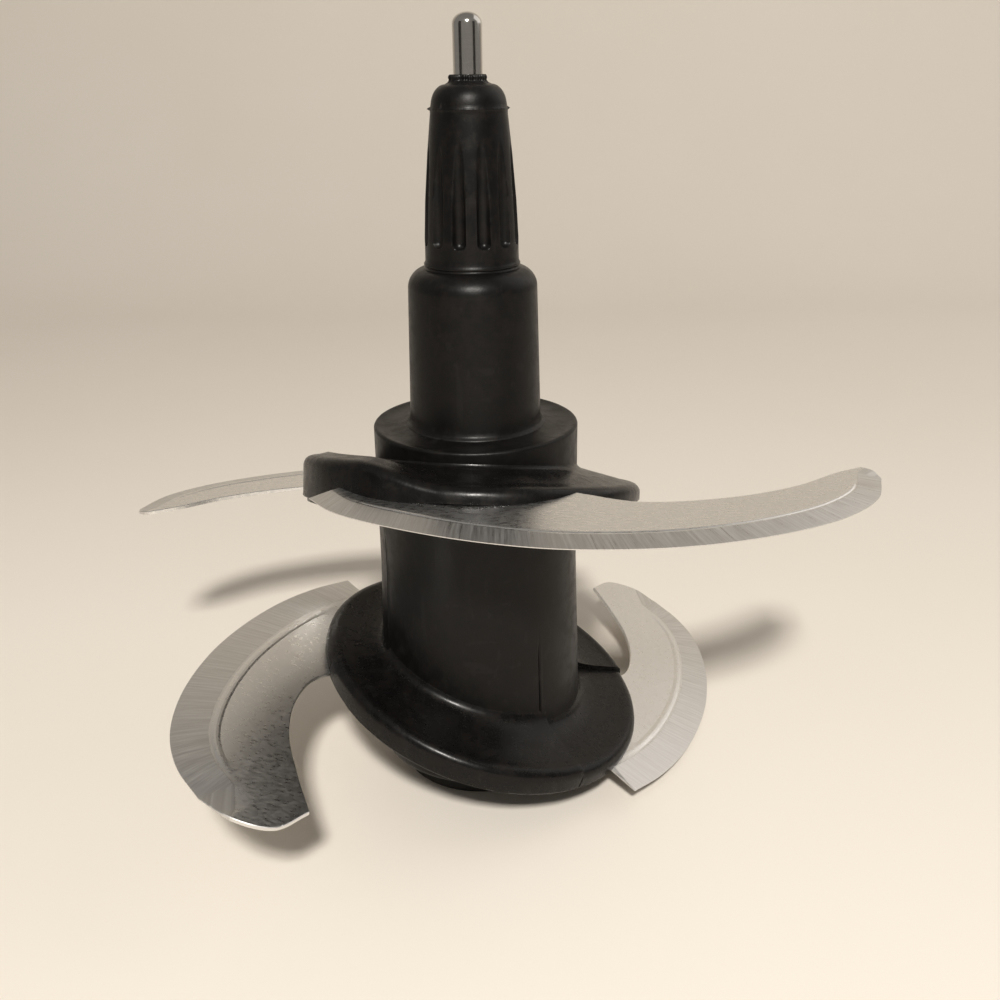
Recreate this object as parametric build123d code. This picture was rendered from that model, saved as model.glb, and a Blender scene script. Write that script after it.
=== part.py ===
"""Four-wing chopping rotor for a top-driven food chopper: hub, drive spindle, two skew flanges, four blades.

Millimetres. The origin is the mouth of the post bore on the foot plane, and +Z runs up the rotor's axis.
Seen from above the rotor turns clockwise, so the convex ground edges lead.
"""
from build123d import *
from math import cos, radians, sin, tan
import os

# --- driving dimensions: rotor axis, from the top down -------------------------------------------------
PIN_RADIUS = 2.5
PIN_TOP = 142.9
PIN_DOME = 1.9
PIN_BURIED = 24.0
PIN_SHANK_RADIUS = 2.9
PIN_SEAT = 133.2
PIN_BOSS_RADIUS = 3.6
GROOVE_DEPTH = 0.5
GROOVE_WIDTH = 1.5
GROOVE_SPACING = 5.0
SMALL_CHAMFER = 0.4

HEAD_TOP = 127.8
HEAD_TOP_RADIUS = 6.6
HEAD_DOME_RISE = 3.6
HEAD_MID = 112.6
HEAD_MID_RADIUS = 8.0
HEAD_FOOT = 101.8
HEAD_FOOT_RADIUS = 8.35
FLUTE_COUNT = 12
FLUTE_RADIUS = 1.15
FLUTE_FLOOR_RADIUS = 7.1
FLUTE_BOTTOM = 106.3

NECK_TOP_RADIUS = 11.65
NECK_FOOT_RADIUS = 12.2
NECK_SHOULDER = 3.6
NECK_BEAD_RADIUS = 12.55
NECK_BEAD_HEIGHT = 1.0
NECK_LEDGE_DROP = 0.6
NECK_LEDGE_WIDTH = 0.3

COLLAR_TOP = 72.4
COLLAR_RADIUS = 19.15
COLLAR_DECK = 4.0
SPIGOT_RADIUS = 10.4
SPIGOT_LENGTH = 14.0
COLLAR_CHAMFER = 0.6

BARREL_TAPER_START = 45.0
BARREL_DRAFT = 1.15
BARREL_FOOT_RADIUS = COLLAR_RADIUS + BARREL_DRAFT
BARREL_BOTTOM = 4.8
BARREL_WALL = 2.4
RIB_COUNT = 6
RIB_THICKNESS = 1.6
RIB_TOP_GAP = 6.0

CORE_RADIUS = 7.4
CORE_BORE_RADIUS = 5.6
CORE_TOP = 94.0
POST_BORE_RADIUS = 4.05
POST_BORE_LENGTH = 28.0
THRUST_DISC_THICKNESS = 2.0
BOTTOM_PLATE_THICKNESS = 2.6
FOOT_RING_OUTER = 16.5
FOOT_RING_INNER = 12.5
FOOT_CHAMFER = 0.6

# --- driving dimensions: blades --------------------------------------------------------------------------
BLADE_THICKNESS = 0.8
ROOT_CLEARANCE = 0.9
WING_DROOP = 3.0
WING_FRONT_HEADING = 106.0
WING_FRONT_HEIGHT = 68.2
WING_REAR_HEIGHT = 50.6
LOCKING_PIN_RADIUS = 1.4
PIN_END_COVER = 0.5
CUT_MARGIN = 1.0
ENVELOPE_BELOW = 10.0
ENVELOPE_ABOVE = 20.0

# --- driving dimensions: upper flange --------------------------------------------------------------------
UPPER_TILT = 17.5
UPPER_HEADING = 259.0
UPPER_RIM_HEIGHT = 60.9
UPPER_RADIUS = 31.2
UPPER_THICKNESS = 6.1
UPPER_LIP_THICKNESS = 3.0
UPPER_UNDERCUT = 0.8
UPPER_CONE_RISE = 3.0
UPPER_RIM_ROUND = 1.2

# --- driving dimensions: lower flange --------------------------------------------------------------------
LOWER_TILT = 19.5
LOWER_HEADING = 164.0
LOWER_BLADE_HEIGHT = 16.7
LOWER_RADIUS = 33.0
LOWER_COVER_THICKNESS = 3.4
LOWER_BASE_THICKNESS = 1.5
LOWER_BASE_RADIUS = 32.3
BASE_CHAMFER = 0.7
CLAMP_STEP = 0.8
CLAMP_CONE_RISE = 1.4
CLAMP_START = 200.0
CLAMP_SPAN = 107.0
CLAMP_RIM_ROUND = 1.8


def skew_plane(height, tilt, heading):
    """Plane through the axis at a height, rising by the tilt angle toward the compass heading."""
    slope_x = tan(radians(tilt)) * cos(radians(heading))
    slope_y = tan(radians(tilt)) * sin(radians(heading))
    return Plane(origin=(0, 0, height), x_dir=(1, 0, slope_x), z_dir=(-slope_x, -slope_y, 1))


def turned(points, start=0, span=360):
    """Solid of revolution about Z, or a sector of one, from a closed list of (radius, height) points."""
    return Rot(0, 0, start) * revolve(Plane.XZ * make_face(Polyline(*points, close=True)), Axis.Z, span)


def ring(outer, inner, low, high):
    """Plain ring about Z."""
    return turned([(inner, low), (outer, low), (outer, high), (inner, high)])


def blade(plane, lead, tip, trail, root):
    """Flat sheet-steel wing: ground leading edge, rounded tip, concave trailing edge and buried root."""
    edges = [
        Spline(*lead),
        Spline(lead[-1], *tip, trail[0]),
        Spline(*trail),
        Polyline(trail[-1], *root, lead[0]),
    ]
    sheet = extrude(make_face(edges), BLADE_THICKNESS / 2, both=True)
    return plane.location * sheet


def half_turn(points):
    """The same outline on the far side of the axis."""
    return [(-x, -y) for x, y in points]


# --- planes and envelopes shared by several pieces ------------------------------------------------------
upper_plane = skew_plane(UPPER_RIM_HEIGHT, UPPER_TILT, UPPER_HEADING)
lower_plane = skew_plane(LOWER_BLADE_HEIGHT, LOWER_TILT, LOWER_HEADING)
front_plane = skew_plane(WING_FRONT_HEIGHT, WING_DROOP, WING_FRONT_HEADING)
rear_plane = skew_plane(WING_REAR_HEIGHT, WING_DROOP, WING_FRONT_HEADING + 180)
barrel_inner_top = COLLAR_RADIUS - BARREL_WALL
barrel_inner_foot = BARREL_FOOT_RADIUS - BARREL_WALL
deck_underside = COLLAR_TOP - COLLAR_DECK
spigot_bottom = COLLAR_TOP - SPIGOT_LENGTH
plate_top = BARREL_BOTTOM + BOTTOM_PLATE_THICKNESS
lower_underside = -BLADE_THICKNESS / 2 - LOWER_BASE_THICKNESS


def barrel_envelope(extra):
    """Solid form of the hub's outside, grown by a radial clearance, for cutting what surrounds it."""
    foot = BARREL_FOOT_RADIUS + extra
    collar = COLLAR_RADIUS + extra
    high = COLLAR_TOP + ENVELOPE_ABOVE
    return turned([
        (0, -ENVELOPE_BELOW), (foot, -ENVELOPE_BELOW), (foot, BARREL_BOTTOM),
        (collar, BARREL_TAPER_START), (collar, high), (0, high),
    ])


# --- spindle and core -------------------------------------------------------------------------------------
def centring_pin():
    """Polished steel pin with a domed top; its thicker buried shank carries two retaining grooves."""
    bottom = PIN_SEAT - PIN_BURIED
    dome_foot = PIN_TOP - PIN_DOME
    dome = [(PIN_RADIUS * cos(radians(a)), dome_foot + PIN_DOME * sin(radians(a))) for a in (0, 30, 60)]
    body = turned([
        (0, bottom), (PIN_SHANK_RADIUS - SMALL_CHAMFER, bottom), (PIN_SHANK_RADIUS, bottom + SMALL_CHAMFER),
        (PIN_SHANK_RADIUS, PIN_SEAT), (PIN_RADIUS, PIN_SEAT), *dome, (0, PIN_TOP),
    ])
    for index in (1, 2):
        low = bottom + index * GROOVE_SPACING
        body -= ring(PIN_SHANK_RADIUS + CUT_MARGIN, PIN_SHANK_RADIUS - GROOVE_DEPTH, low, low + GROOVE_WIDTH)
    return body


def flute_cutter():
    """Round-bottomed flute with a ball end at its foot; it runs out where the head tapers to its floor."""
    centre = FLUTE_FLOOR_RADIUS + FLUTE_RADIUS
    length = HEAD_TOP - FLUTE_BOTTOM
    shaft = Pos(centre, 0, FLUTE_BOTTOM + length / 2) * Cylinder(FLUTE_RADIUS, length)
    return shaft + Pos(centre, 0, FLUTE_BOTTOM) * Sphere(FLUTE_RADIUS)


def spindle_profile():
    """Outside of the drive spindle from its spigot up to the boss around the pin."""
    neck_top = HEAD_FOOT - NECK_LEDGE_DROP
    bead_top = COLLAR_TOP + NECK_BEAD_HEIGHT
    ledge = HEAD_FOOT_RADIUS + NECK_LEDGE_WIDTH
    round_centre = NECK_TOP_RADIUS - NECK_SHOULDER
    shoulder = [
        (round_centre + NECK_SHOULDER * cos(radians(a)),
         neck_top - NECK_SHOULDER + NECK_SHOULDER * sin(radians(a)))
        for a in (0, 30, 60, 90)
    ]
    dome = [
        (PIN_BOSS_RADIUS + (HEAD_TOP_RADIUS - PIN_BOSS_RADIUS) * cos(radians(a)),
         HEAD_TOP + HEAD_DOME_RISE * sin(radians(a)))
        for a in (0, 30, 60, 90)
    ]
    return [
        (0, spigot_bottom), (SPIGOT_RADIUS, spigot_bottom), (SPIGOT_RADIUS, COLLAR_TOP),
        (NECK_BEAD_RADIUS, COLLAR_TOP), (NECK_BEAD_RADIUS, bead_top - SMALL_CHAMFER),
        (NECK_FOOT_RADIUS, bead_top), *shoulder, (ledge, neck_top), (ledge, HEAD_FOOT),
        (HEAD_FOOT_RADIUS, HEAD_FOOT), (HEAD_MID_RADIUS, HEAD_MID), *dome,
        (PIN_BOSS_RADIUS, PIN_SEAT), (0, PIN_SEAT),
    ]


def drive_spindle():
    """Moulded spindle: fluted drive head, neck and the spigot that enters the collar."""
    body = turned(spindle_profile())
    for index in range(FLUTE_COUNT):
        body -= Rot(0, 0, (index + 0.5) * 360 / FLUTE_COUNT) * flute_cutter()
    pin_hole = ring(PIN_SHANK_RADIUS, 0, PIN_SEAT - PIN_BURIED, PIN_SEAT + CUT_MARGIN)
    core_socket = ring(CORE_RADIUS, 0, spigot_bottom - CUT_MARGIN, CORE_TOP)
    return body - pin_hole - core_socket


def core_tube():
    """Inner tube that ties the spindle to the bottom plate and holds the bush."""
    return ring(CORE_RADIUS, CORE_BORE_RADIUS, 0, CORE_TOP)


def post_bush():
    """Bearing bush that runs on the bowl's fixed post, flush with the foot plane."""
    return ring(CORE_BORE_RADIUS, POST_BORE_RADIUS, 0, POST_BORE_LENGTH)


def thrust_disc():
    """Steel disc at the blind end of the bush, which takes the rotor's weight on the post's tip."""
    return ring(CORE_BORE_RADIUS, 0, POST_BORE_LENGTH, POST_BORE_LENGTH + THRUST_DISC_THICKNESS)


# --- hub ----------------------------------------------------------------------------------------------------
def hub_barrel():
    """Hollow hub: collar deck, tapered barrel wall and radial ribs that grip the core tube."""
    shell = turned([
        (SPIGOT_RADIUS, deck_underside), (barrel_inner_top, deck_underside),
        (barrel_inner_top, BARREL_TAPER_START), (barrel_inner_foot, BARREL_BOTTOM),
        (BARREL_FOOT_RADIUS, BARREL_BOTTOM), (COLLAR_RADIUS, BARREL_TAPER_START),
        (COLLAR_RADIUS, COLLAR_TOP - COLLAR_CHAMFER), (COLLAR_RADIUS - COLLAR_CHAMFER, COLLAR_TOP),
        (SPIGOT_RADIUS, COLLAR_TOP),
    ])
    rib_top = spigot_bottom - RIB_TOP_GAP
    rib_height = rib_top - plate_top
    rib_reach = barrel_inner_top + BARREL_WALL / 2 - CORE_RADIUS
    rib_centre = Pos(CORE_RADIUS + rib_reach / 2, 0, plate_top + rib_height / 2)
    rib = rib_centre * Box(rib_reach, RIB_THICKNESS, rib_height)
    for index in range(RIB_COUNT):
        shell += Rot(0, 0, (index + 0.5) * 360 / RIB_COUNT) * rib
    return shell - ring(CORE_RADIUS, 0, plate_top - CUT_MARGIN, rib_top + CUT_MARGIN)


def bottom_plate():
    """Annular plate that closes the barrel around the core tube."""
    wall_slope = (barrel_inner_foot - barrel_inner_top) / (BARREL_TAPER_START - BARREL_BOTTOM)
    top_radius = barrel_inner_foot - wall_slope * BOTTOM_PLATE_THICKNESS
    return turned([(CORE_RADIUS, BARREL_BOTTOM), (barrel_inner_foot, BARREL_BOTTOM), (top_radius, plate_top),
                   (CORE_RADIUS, plate_top)])


def foot_ring():
    """Rubber ring that the rotor stands on."""
    return turned([(FOOT_RING_INNER, 0), (FOOT_RING_OUTER - FOOT_CHAMFER, 0),
                   (FOOT_RING_OUTER, FOOT_CHAMFER), (FOOT_RING_OUTER, BARREL_BOTTOM),
                   (FOOT_RING_INNER, BARREL_BOTTOM)])


# --- blades -------------------------------------------------------------------------------------------------
UPPER_LEAD = [(-28.4, -25.1), (-23.5, -31.0), (-8.0, -39.3), (8.4, -44.2), (21.0, -45.2), (35.0, -44.0),
              (50.2, -39.6), (61.0, -33.9), (68.0, -27.0), (71.2, -19.0)]
UPPER_TIP = [(70.6, -16.2)]
UPPER_TRAIL = [(68.6, -15.0), (63.6, -17.4), (54.8, -23.1), (42.3, -27.6), (27.0, -29.0), (17.0, -25.2)]
UPPER_ROOT = [(12.0, -17.0), (-12.0, -14.0), (-20.0, -19.0)]
UPPER_PIN_PLACES = [(-9.0, -25.0), (6.0, -25.5)]

LOWER_LEAD = [(-31.5, 23.0), (-37.6, 16.5), (-43.6, 8.0), (-49.2, -3.2), (-53.3, -15.5), (-55.2, -29.0),
              (-54.3, -39.5), (-51.2, -46.8), (-46.2, -52.4)]
LOWER_TIP = [(-40.2, -55.4), (-33.4, -55.2)]
LOWER_TRAIL = [(-28.6, -50.0), (-31.8, -42.5), (-35.0, -33.0), (-35.6, -24.0), (-33.6, -16.0), (-29.6, -11.4)]
LOWER_ROOT = [(-19.0, -7.5), (-16.0, 14.0)]
LOWER_PIN_PLACES = [(-26.5, 9.5), (-27.0, -2.5)]


def upper_blade(plane, far_side):
    """Long scimitar wing, level but for the droop of its leading edge."""
    outlines = [UPPER_LEAD, UPPER_TIP, UPPER_TRAIL, UPPER_ROOT]
    if far_side:
        outlines = [half_turn(outline) for outline in outlines]
    return blade(plane, *outlines) - barrel_envelope(ROOT_CLEARANCE)


def lower_blade(far_side):
    """Wide sickle wing that lies in the plane of the lower flange."""
    outlines = [LOWER_LEAD, LOWER_TIP, LOWER_TRAIL, LOWER_ROOT]
    if far_side:
        outlines = [half_turn(outline) for outline in outlines]
    return blade(lower_plane, *outlines) - barrel_envelope(ROOT_CLEARANCE)


def locking_pins(plane, places, low, high):
    """Pins across the flange that lock each blade root, one pair for each wing."""
    pins = []
    for x, y in places + half_turn(places):
        middle = Pos(x, y, (low + high) / 2)
        pins.append(plane.location * middle * Cylinder(LOCKING_PIN_RADIUS, high - low))
    return pins


# --- flanges ------------------------------------------------------------------------------------------------
def upper_flange():
    """Cone-topped skew disc moulded around the roots of both upper wings."""
    round_in = UPPER_RIM_ROUND * (1 - cos(radians(45)))
    section = turned([
        (0, -UPPER_THICKNESS), (UPPER_RADIUS - UPPER_UNDERCUT, -UPPER_THICKNESS),
        (UPPER_RADIUS - UPPER_UNDERCUT, -UPPER_LIP_THICKNESS), (UPPER_RADIUS, -UPPER_LIP_THICKNESS),
        (UPPER_RADIUS, -UPPER_RIM_ROUND), (UPPER_RADIUS - round_in, -round_in),
        (UPPER_RADIUS - UPPER_RIM_ROUND, 0), (COLLAR_RADIUS, UPPER_CONE_RISE), (0, UPPER_CONE_RISE),
    ])
    return upper_plane.location * section - barrel_envelope(0)


def lower_lobe(start):
    """Thin cover over one lower blade root."""
    round_in = CLAMP_RIM_ROUND * (1 - cos(radians(45)))
    low = -BLADE_THICKNESS / 2
    high = LOWER_COVER_THICKNESS
    section = turned([(0, low), (LOWER_RADIUS, low), (LOWER_RADIUS, high - CLAMP_RIM_ROUND),
                      (LOWER_RADIUS - round_in, high - round_in),
                      (LOWER_RADIUS - CLAMP_RIM_ROUND, high), (0, high)], start, 180 - CLAMP_SPAN)
    return lower_plane.location * section - barrel_envelope(0)


def lower_clamp(start):
    """Thicker segment between the wings; its rounded rim and cone stand a step above the lobes."""
    round_in = CLAMP_RIM_ROUND * (1 - cos(radians(45)))
    low = -BLADE_THICKNESS / 2
    high = LOWER_COVER_THICKNESS + CLAMP_STEP
    section = turned([(0, low), (LOWER_RADIUS, low), (LOWER_RADIUS, high - CLAMP_RIM_ROUND),
                      (LOWER_RADIUS - round_in, high - round_in), (LOWER_RADIUS - CLAMP_RIM_ROUND, high),
                      (BARREL_FOOT_RADIUS, high + CLAMP_CONE_RISE), (0, high + CLAMP_CONE_RISE)],
                     start, CLAMP_SPAN)
    return lower_plane.location * section - barrel_envelope(0)


def lower_flange_base():
    """Underside of the lower flange, one skew plate below both blades."""
    section = turned([(0, lower_underside), (LOWER_BASE_RADIUS - BASE_CHAMFER, lower_underside),
                      (LOWER_BASE_RADIUS, lower_underside + BASE_CHAMFER),
                      (LOWER_BASE_RADIUS, -BLADE_THICKNESS / 2), (0, -BLADE_THICKNESS / 2)])
    return lower_plane.location * section - barrel_envelope(0)


# --- assembly -----------------------------------------------------------------------------------------------
def build():
    """Every piece by node name, each cut to fit what passes through it."""
    parts = {
        "centring_pin": centring_pin(), "drive_spindle": drive_spindle(), "hub_barrel": hub_barrel(),
        "core_tube": core_tube(), "post_bush": post_bush(), "thrust_disc": thrust_disc(),
        "bottom_plate": bottom_plate(), "foot_ring": foot_ring(),
        "upper_flange": upper_flange(),
        "upper_blade_front": upper_blade(front_plane, False),
        "upper_blade_rear": upper_blade(rear_plane, True),
        "lower_flange_base": lower_flange_base(),
        "lower_clamp_front": lower_clamp(CLAMP_START), "lower_clamp_rear": lower_clamp(CLAMP_START - 180),
        "lower_lobe_left": lower_lobe(CLAMP_START - 180 + CLAMP_SPAN),
        "lower_lobe_right": lower_lobe(CLAMP_START + CLAMP_SPAN),
        "lower_blade_left": lower_blade(False), "lower_blade_right": lower_blade(True),
    }
    upper_pins = locking_pins(upper_plane, UPPER_PIN_PLACES, PIN_END_COVER - UPPER_THICKNESS, -PIN_END_COVER)
    lower_pins = locking_pins(lower_plane, LOWER_PIN_PLACES, lower_underside + PIN_END_COVER,
                              LOWER_COVER_THICKNESS - PIN_END_COVER)
    parts["upper_flange"] -= [parts["upper_blade_front"], parts["upper_blade_rear"]]
    for name in ("upper_flange", "upper_blade_front", "upper_blade_rear"):
        parts[name] -= upper_pins
    for name in ("lower_lobe_left", "lower_lobe_right", "lower_clamp_front", "lower_clamp_rear"):
        parts[name] -= [parts["lower_blade_left"], parts["lower_blade_right"]]
    for name in ("lower_lobe_left", "lower_lobe_right", "lower_flange_base", "lower_blade_left",
                 "lower_blade_right"):
        parts[name] -= lower_pins
    parts["upper_locking_pins"] = Compound(upper_pins)
    parts["lower_locking_pins"] = Compound(lower_pins)
    return parts


os.makedirs("parts", exist_ok=True)
for node, shape in build().items():
    export_step(shape, f"parts/{node}.step")
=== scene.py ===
"""Finish of a four-wing food chopper rotor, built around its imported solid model.

Sizes in the classes are millimetres, as a maker would write them; meshes are made in metres.
"""

import logging
import math
from collections.abc import Callable
from dataclasses import dataclass, field
from enum import Enum
from functools import lru_cache

import bpy
import numpy as np
from mathutils import Matrix, Vector
from mathutils.geometry import delaunay_2d_cdt


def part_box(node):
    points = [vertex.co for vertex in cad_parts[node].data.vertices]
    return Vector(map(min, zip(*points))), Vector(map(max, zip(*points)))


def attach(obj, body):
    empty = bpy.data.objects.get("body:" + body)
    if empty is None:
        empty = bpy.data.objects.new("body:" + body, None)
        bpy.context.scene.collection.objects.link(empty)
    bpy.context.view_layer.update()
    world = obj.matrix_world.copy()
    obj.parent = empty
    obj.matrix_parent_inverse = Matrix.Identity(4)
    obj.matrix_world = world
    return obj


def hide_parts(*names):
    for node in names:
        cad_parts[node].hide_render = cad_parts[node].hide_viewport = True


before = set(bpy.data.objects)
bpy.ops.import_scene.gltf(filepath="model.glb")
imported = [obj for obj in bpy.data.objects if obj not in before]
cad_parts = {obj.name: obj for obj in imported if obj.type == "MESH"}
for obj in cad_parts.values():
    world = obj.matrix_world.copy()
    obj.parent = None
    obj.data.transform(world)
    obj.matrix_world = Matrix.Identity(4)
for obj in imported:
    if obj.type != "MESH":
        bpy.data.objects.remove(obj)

LOG = logging.getLogger("rotor")
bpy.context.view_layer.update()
MM = 0.001
BODY = "root"
WING_MAP = "edge_map"

# Where a skew section starts, just inside the barrel, so that no gap shows between the two.
SUNK = -0.4
# The broken edges of a wing: how deep the rounding is, how far in it reaches, and how near the leading
# edge it stops, because that edge is ground.
BROKEN_DEPTH = 0.09
BROKEN_WIDTH = 0.13
BROKEN_LIMIT = 1.0
NICK_WIDTH = 0.9
# Millimetres to decimetres, the unit of the wings' edge map and of the ground band's width.
MAP_UNIT = 0.01

RUBBED_TONE = (0.035, 0.033, 0.031, 1)
SCUFF_TONE = (0.12, 0.115, 0.11, 1)
DUST_TONE = (0.30, 0.27, 0.24, 1)
BRUSHED_TONE = (0.74, 0.735, 0.725, 1)
CLOUD_TONE = (0.78, 0.77, 0.75, 1)
PIT_TONE = (0.2, 0.19, 0.18, 1)
GROOVE_TONE = (0.60, 0.59, 0.58, 1)

Point = tuple[float, float]
Colour = tuple[float, float, float]
Value = float | tuple | bpy.types.NodeSocket


class Slot(Enum):
    """Names of material slots, which the pieces built here do not take their finish from."""

    PIN = "polished_steel"
    BLADE = "blade_steel"
    SPINDLE = "spindle_plastic"
    HUB = "hub_plastic"
    BUSH = "bush_bronze"
    FOOT = "foot_rubber"


class WingKind(Enum):
    """The two kinds of wing, which are ground to different widths."""

    UPPER = "long and narrow"
    LOWER = "short and wide"


class Anchor(Enum):
    """What a radius in a skew section is measured from."""

    BARREL = "the barrel's surface"
    AXIS = "the flange's own axis"


# --- frame helpers ------------------------------------------------------------------------------------------
@lru_cache(maxsize=None)
def top(node: str) -> float:
    """Height of a solid node's highest point, in millimetres."""
    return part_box(node)[1].z / MM


@lru_cache(maxsize=None)
def bottom(node: str) -> float:
    """Height of a solid node's lowest point, in millimetres."""
    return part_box(node)[0].z / MM


def round_size(node: str) -> tuple[float, float, float]:
    """Outside radius, foot and top of a node that is round about the axis, in millimetres."""
    low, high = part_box(node)
    return high.x / MM, low.z / MM, high.z / MM


def sheet_plane(node: str) -> Matrix:
    """Finds the middle plane of a flat sheet node.

    Args:
        node: name of a solid node that is a flat sheet.

    Returns:
        A matrix in millimetres whose origin is where the plane crosses the rotor's axis, whose Z is the
        sheet's upward normal and whose X lies over the row's +X.
    """
    points = np.array([v.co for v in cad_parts[node].data.vertices], float) / MM
    design = np.column_stack([points[:, 0], points[:, 1], np.ones(len(points))])
    slope_x, slope_y, height = np.linalg.lstsq(design, points[:, 2], rcond=None)[0]
    return skew_plane(height, slope_x, slope_y)


def skew_plane(height: float, slope_x: float, slope_y: float) -> Matrix:
    """Makes the frame of a plane that crosses the axis at a height.

    Args:
        height: where the plane crosses the rotor's axis, in millimetres.
        slope_x: rise of the plane along X.
        slope_y: rise of the plane along Y.

    Returns:
        The plane's frame, in millimetres.
    """
    normal = Vector((-slope_x, -slope_y, 1.0)).normalized()
    across = Vector((1.0, 0.0, slope_x)).normalized()
    along = normal.cross(across)
    turn = Matrix((across, along, normal)).transposed().to_4x4()
    return Matrix.Translation((0, 0, height)) @ turn


def ragged(angle: float, seed: float) -> float:
    """Uneven but repeatable ripple around a moulding, between about -1 and 1."""
    waves = ((3, 0.35), (7, 0.3), (17, 0.25), (41, 0.2), (89, 0.15))
    return sum(size * math.sin(rate * angle + seed * rate * 1.7) for rate, size in waves)


def smoothstep(low: float, high: float, value: float) -> float:
    """Smooth ramp from 0 at low to 1 at high."""
    t = min(max((value - low) / (high - low), 0.0), 1.0)
    return t * t * (3 - 2 * t)


def arc(centre: Point, radius: float, start: float, end: float, steps: int) -> list[Point]:
    """Points of a circular arc.

    Args:
        centre: centre of the arc.
        radius: its radius.
        start: first angle in degrees.
        end: last angle in degrees.
        steps: number of spans.

    Returns:
        The points, both ends included.
    """
    angles = [math.radians(start + (end - start) * i / steps) for i in range(steps + 1)]
    return [(centre[0] + radius * math.cos(a), centre[1] + radius * math.sin(a)) for a in angles]


def subdivide(profile: list[Point], longest: float) -> list[Point]:
    """Breaks the long runs of a profile so that shading and ripples follow it closely.

    Args:
        profile: the points to keep.
        longest: longest run allowed.

    Returns:
        The profile with points added on its long runs.
    """
    out = [profile[0]]
    for a, b in zip(profile, profile[1:]):
        count = max(1, math.ceil(math.dist(a, b) / longest))
        out += [(a[0] + (b[0] - a[0]) * i / count, a[1] + (b[1] - a[1]) * i / count)
                for i in range(1, count + 1)]
    return out


# --- mesh making --------------------------------------------------------------------------------------------
def make_piece(name: str, points: list, faces: list, material: bpy.types.Material,
               replaced: tuple[str, ...], sharp: float = 35.0) -> bpy.types.Object:
    """Turns points and faces into a piece that rides on the rotor.

    Args:
        name: the piece's name.
        points: vertices in millimetres.
        faces: tuples of vertex numbers.
        material: its finish.
        replaced: solid nodes that it stands for.
        sharp: edges that turn by more degrees than this are shaded sharp.

    Returns:
        The new object.
    """
    mesh = bpy.data.meshes.new(name)
    mesh.from_pydata([Vector(p) * MM for p in points], [], faces)
    mesh.validate()
    mesh.materials.append(material)
    mesh.shade_smooth()
    mesh.set_sharp_from_angle(angle=math.radians(sharp))
    piece = bpy.data.objects.new(name, mesh)
    bpy.context.scene.collection.objects.link(piece)
    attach(piece, BODY)
    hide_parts(*replaced)
    LOG.info("%s: %d vertices, %d faces, %s", name, len(mesh.vertices), len(mesh.polygons), material.name)
    return piece


def loop_faces(rows: int, columns: int, wrap_rows: bool, wrap_columns: bool) -> list[tuple[int, ...]]:
    """Quads over a grid of vertices.

    Args:
        rows: number of rows.
        columns: vertices in each row.
        wrap_rows: joins the last row to the first.
        wrap_columns: joins each row's last vertex to its first.

    Returns:
        The faces, wound so that rows going up and columns going counter-clockwise face outward.
    """
    faces = []
    for r in range(rows if wrap_rows else rows - 1):
        for c in range(columns if wrap_columns else columns - 1):
            here, there = r * columns, (r + 1) % rows * columns
            after = (c + 1) % columns
            faces.append((here + c, here + after, there + after, there + c))
    return faces


def lathe(profile: list[Point], angles: list[float],
          shape: Callable[[float, float, float], float] | None = None) -> tuple[list, list]:
    """Turns a profile about the rotor's axis.

    Args:
        profile: (radius, height) points from the bottom up; it closes on itself unless it starts and ends
            on the axis.
        angles: azimuths in radians, going counter-clockwise.
        shape: optional function of (radius, height, azimuth) that returns the radius to use.

    Returns:
        Vertices and faces.
    """
    on_axis = profile[0][0] < 1e-6 and profile[-1][0] < 1e-6
    rings = profile[1:-1] if on_axis else profile
    points = []
    for radius, height in rings:
        for angle in angles:
            r = shape(radius, height, angle) if shape else radius
            points.append((r * math.cos(angle), r * math.sin(angle), height))
    count = len(angles)
    faces = loop_faces(len(rings), count, not on_axis, True)
    if on_axis:
        points += [(0, 0, profile[0][1]), (0, 0, profile[-1][1])]
        low, high = len(points) - 2, len(points) - 1
        last = (len(rings) - 1) * count
        for c in range(count):
            after = (c + 1) % count
            faces.append((low, after, c))
            faces.append((high, last + c, last + after))
    return points, faces


def even_angles(count: int) -> list[float]:
    """Azimuths spread evenly round the axis."""
    return [math.tau * i / count for i in range(count)]


def smooth_curve(points: list[Point], step: float) -> np.ndarray:
    """Draws a smooth curve through points.

    Args:
        points: the points that it passes through.
        step: largest distance between the points put out.

    Returns:
        Points along the curve, both ends included.
    """
    given = np.array(points, float)
    padded = np.vstack([2 * given[0] - given[1], given, 2 * given[-1] - given[-2]])
    out = [given[0]]
    for p0, p1, p2, p3 in zip(padded, padded[1:], padded[2:], padded[3:]):
        k0, k1, k2 = (math.sqrt(np.linalg.norm(b - a)) for a, b in ((p0, p1), (p1, p2), (p2, p3)))
        leave = (p1 - p0) / k0 - (p2 - p0) / (k0 + k1) + (p2 - p1) / k1
        arrive = (p2 - p1) / k1 - (p3 - p1) / (k1 + k2) + (p3 - p2) / k2
        count = max(1, math.ceil(np.linalg.norm(p2 - p1) / step))
        for i in range(1, count + 1):
            t = i / count
            h00, h10 = 2 * t ** 3 - 3 * t ** 2 + 1, t ** 3 - 2 * t ** 2 + t
            h01, h11 = -2 * t ** 3 + 3 * t ** 2, t ** 3 - t ** 2
            out.append(h00 * p1 + h10 * leave * k1 + h01 * p2 + h11 * arrive * k1)
    return np.array(out)


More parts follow.
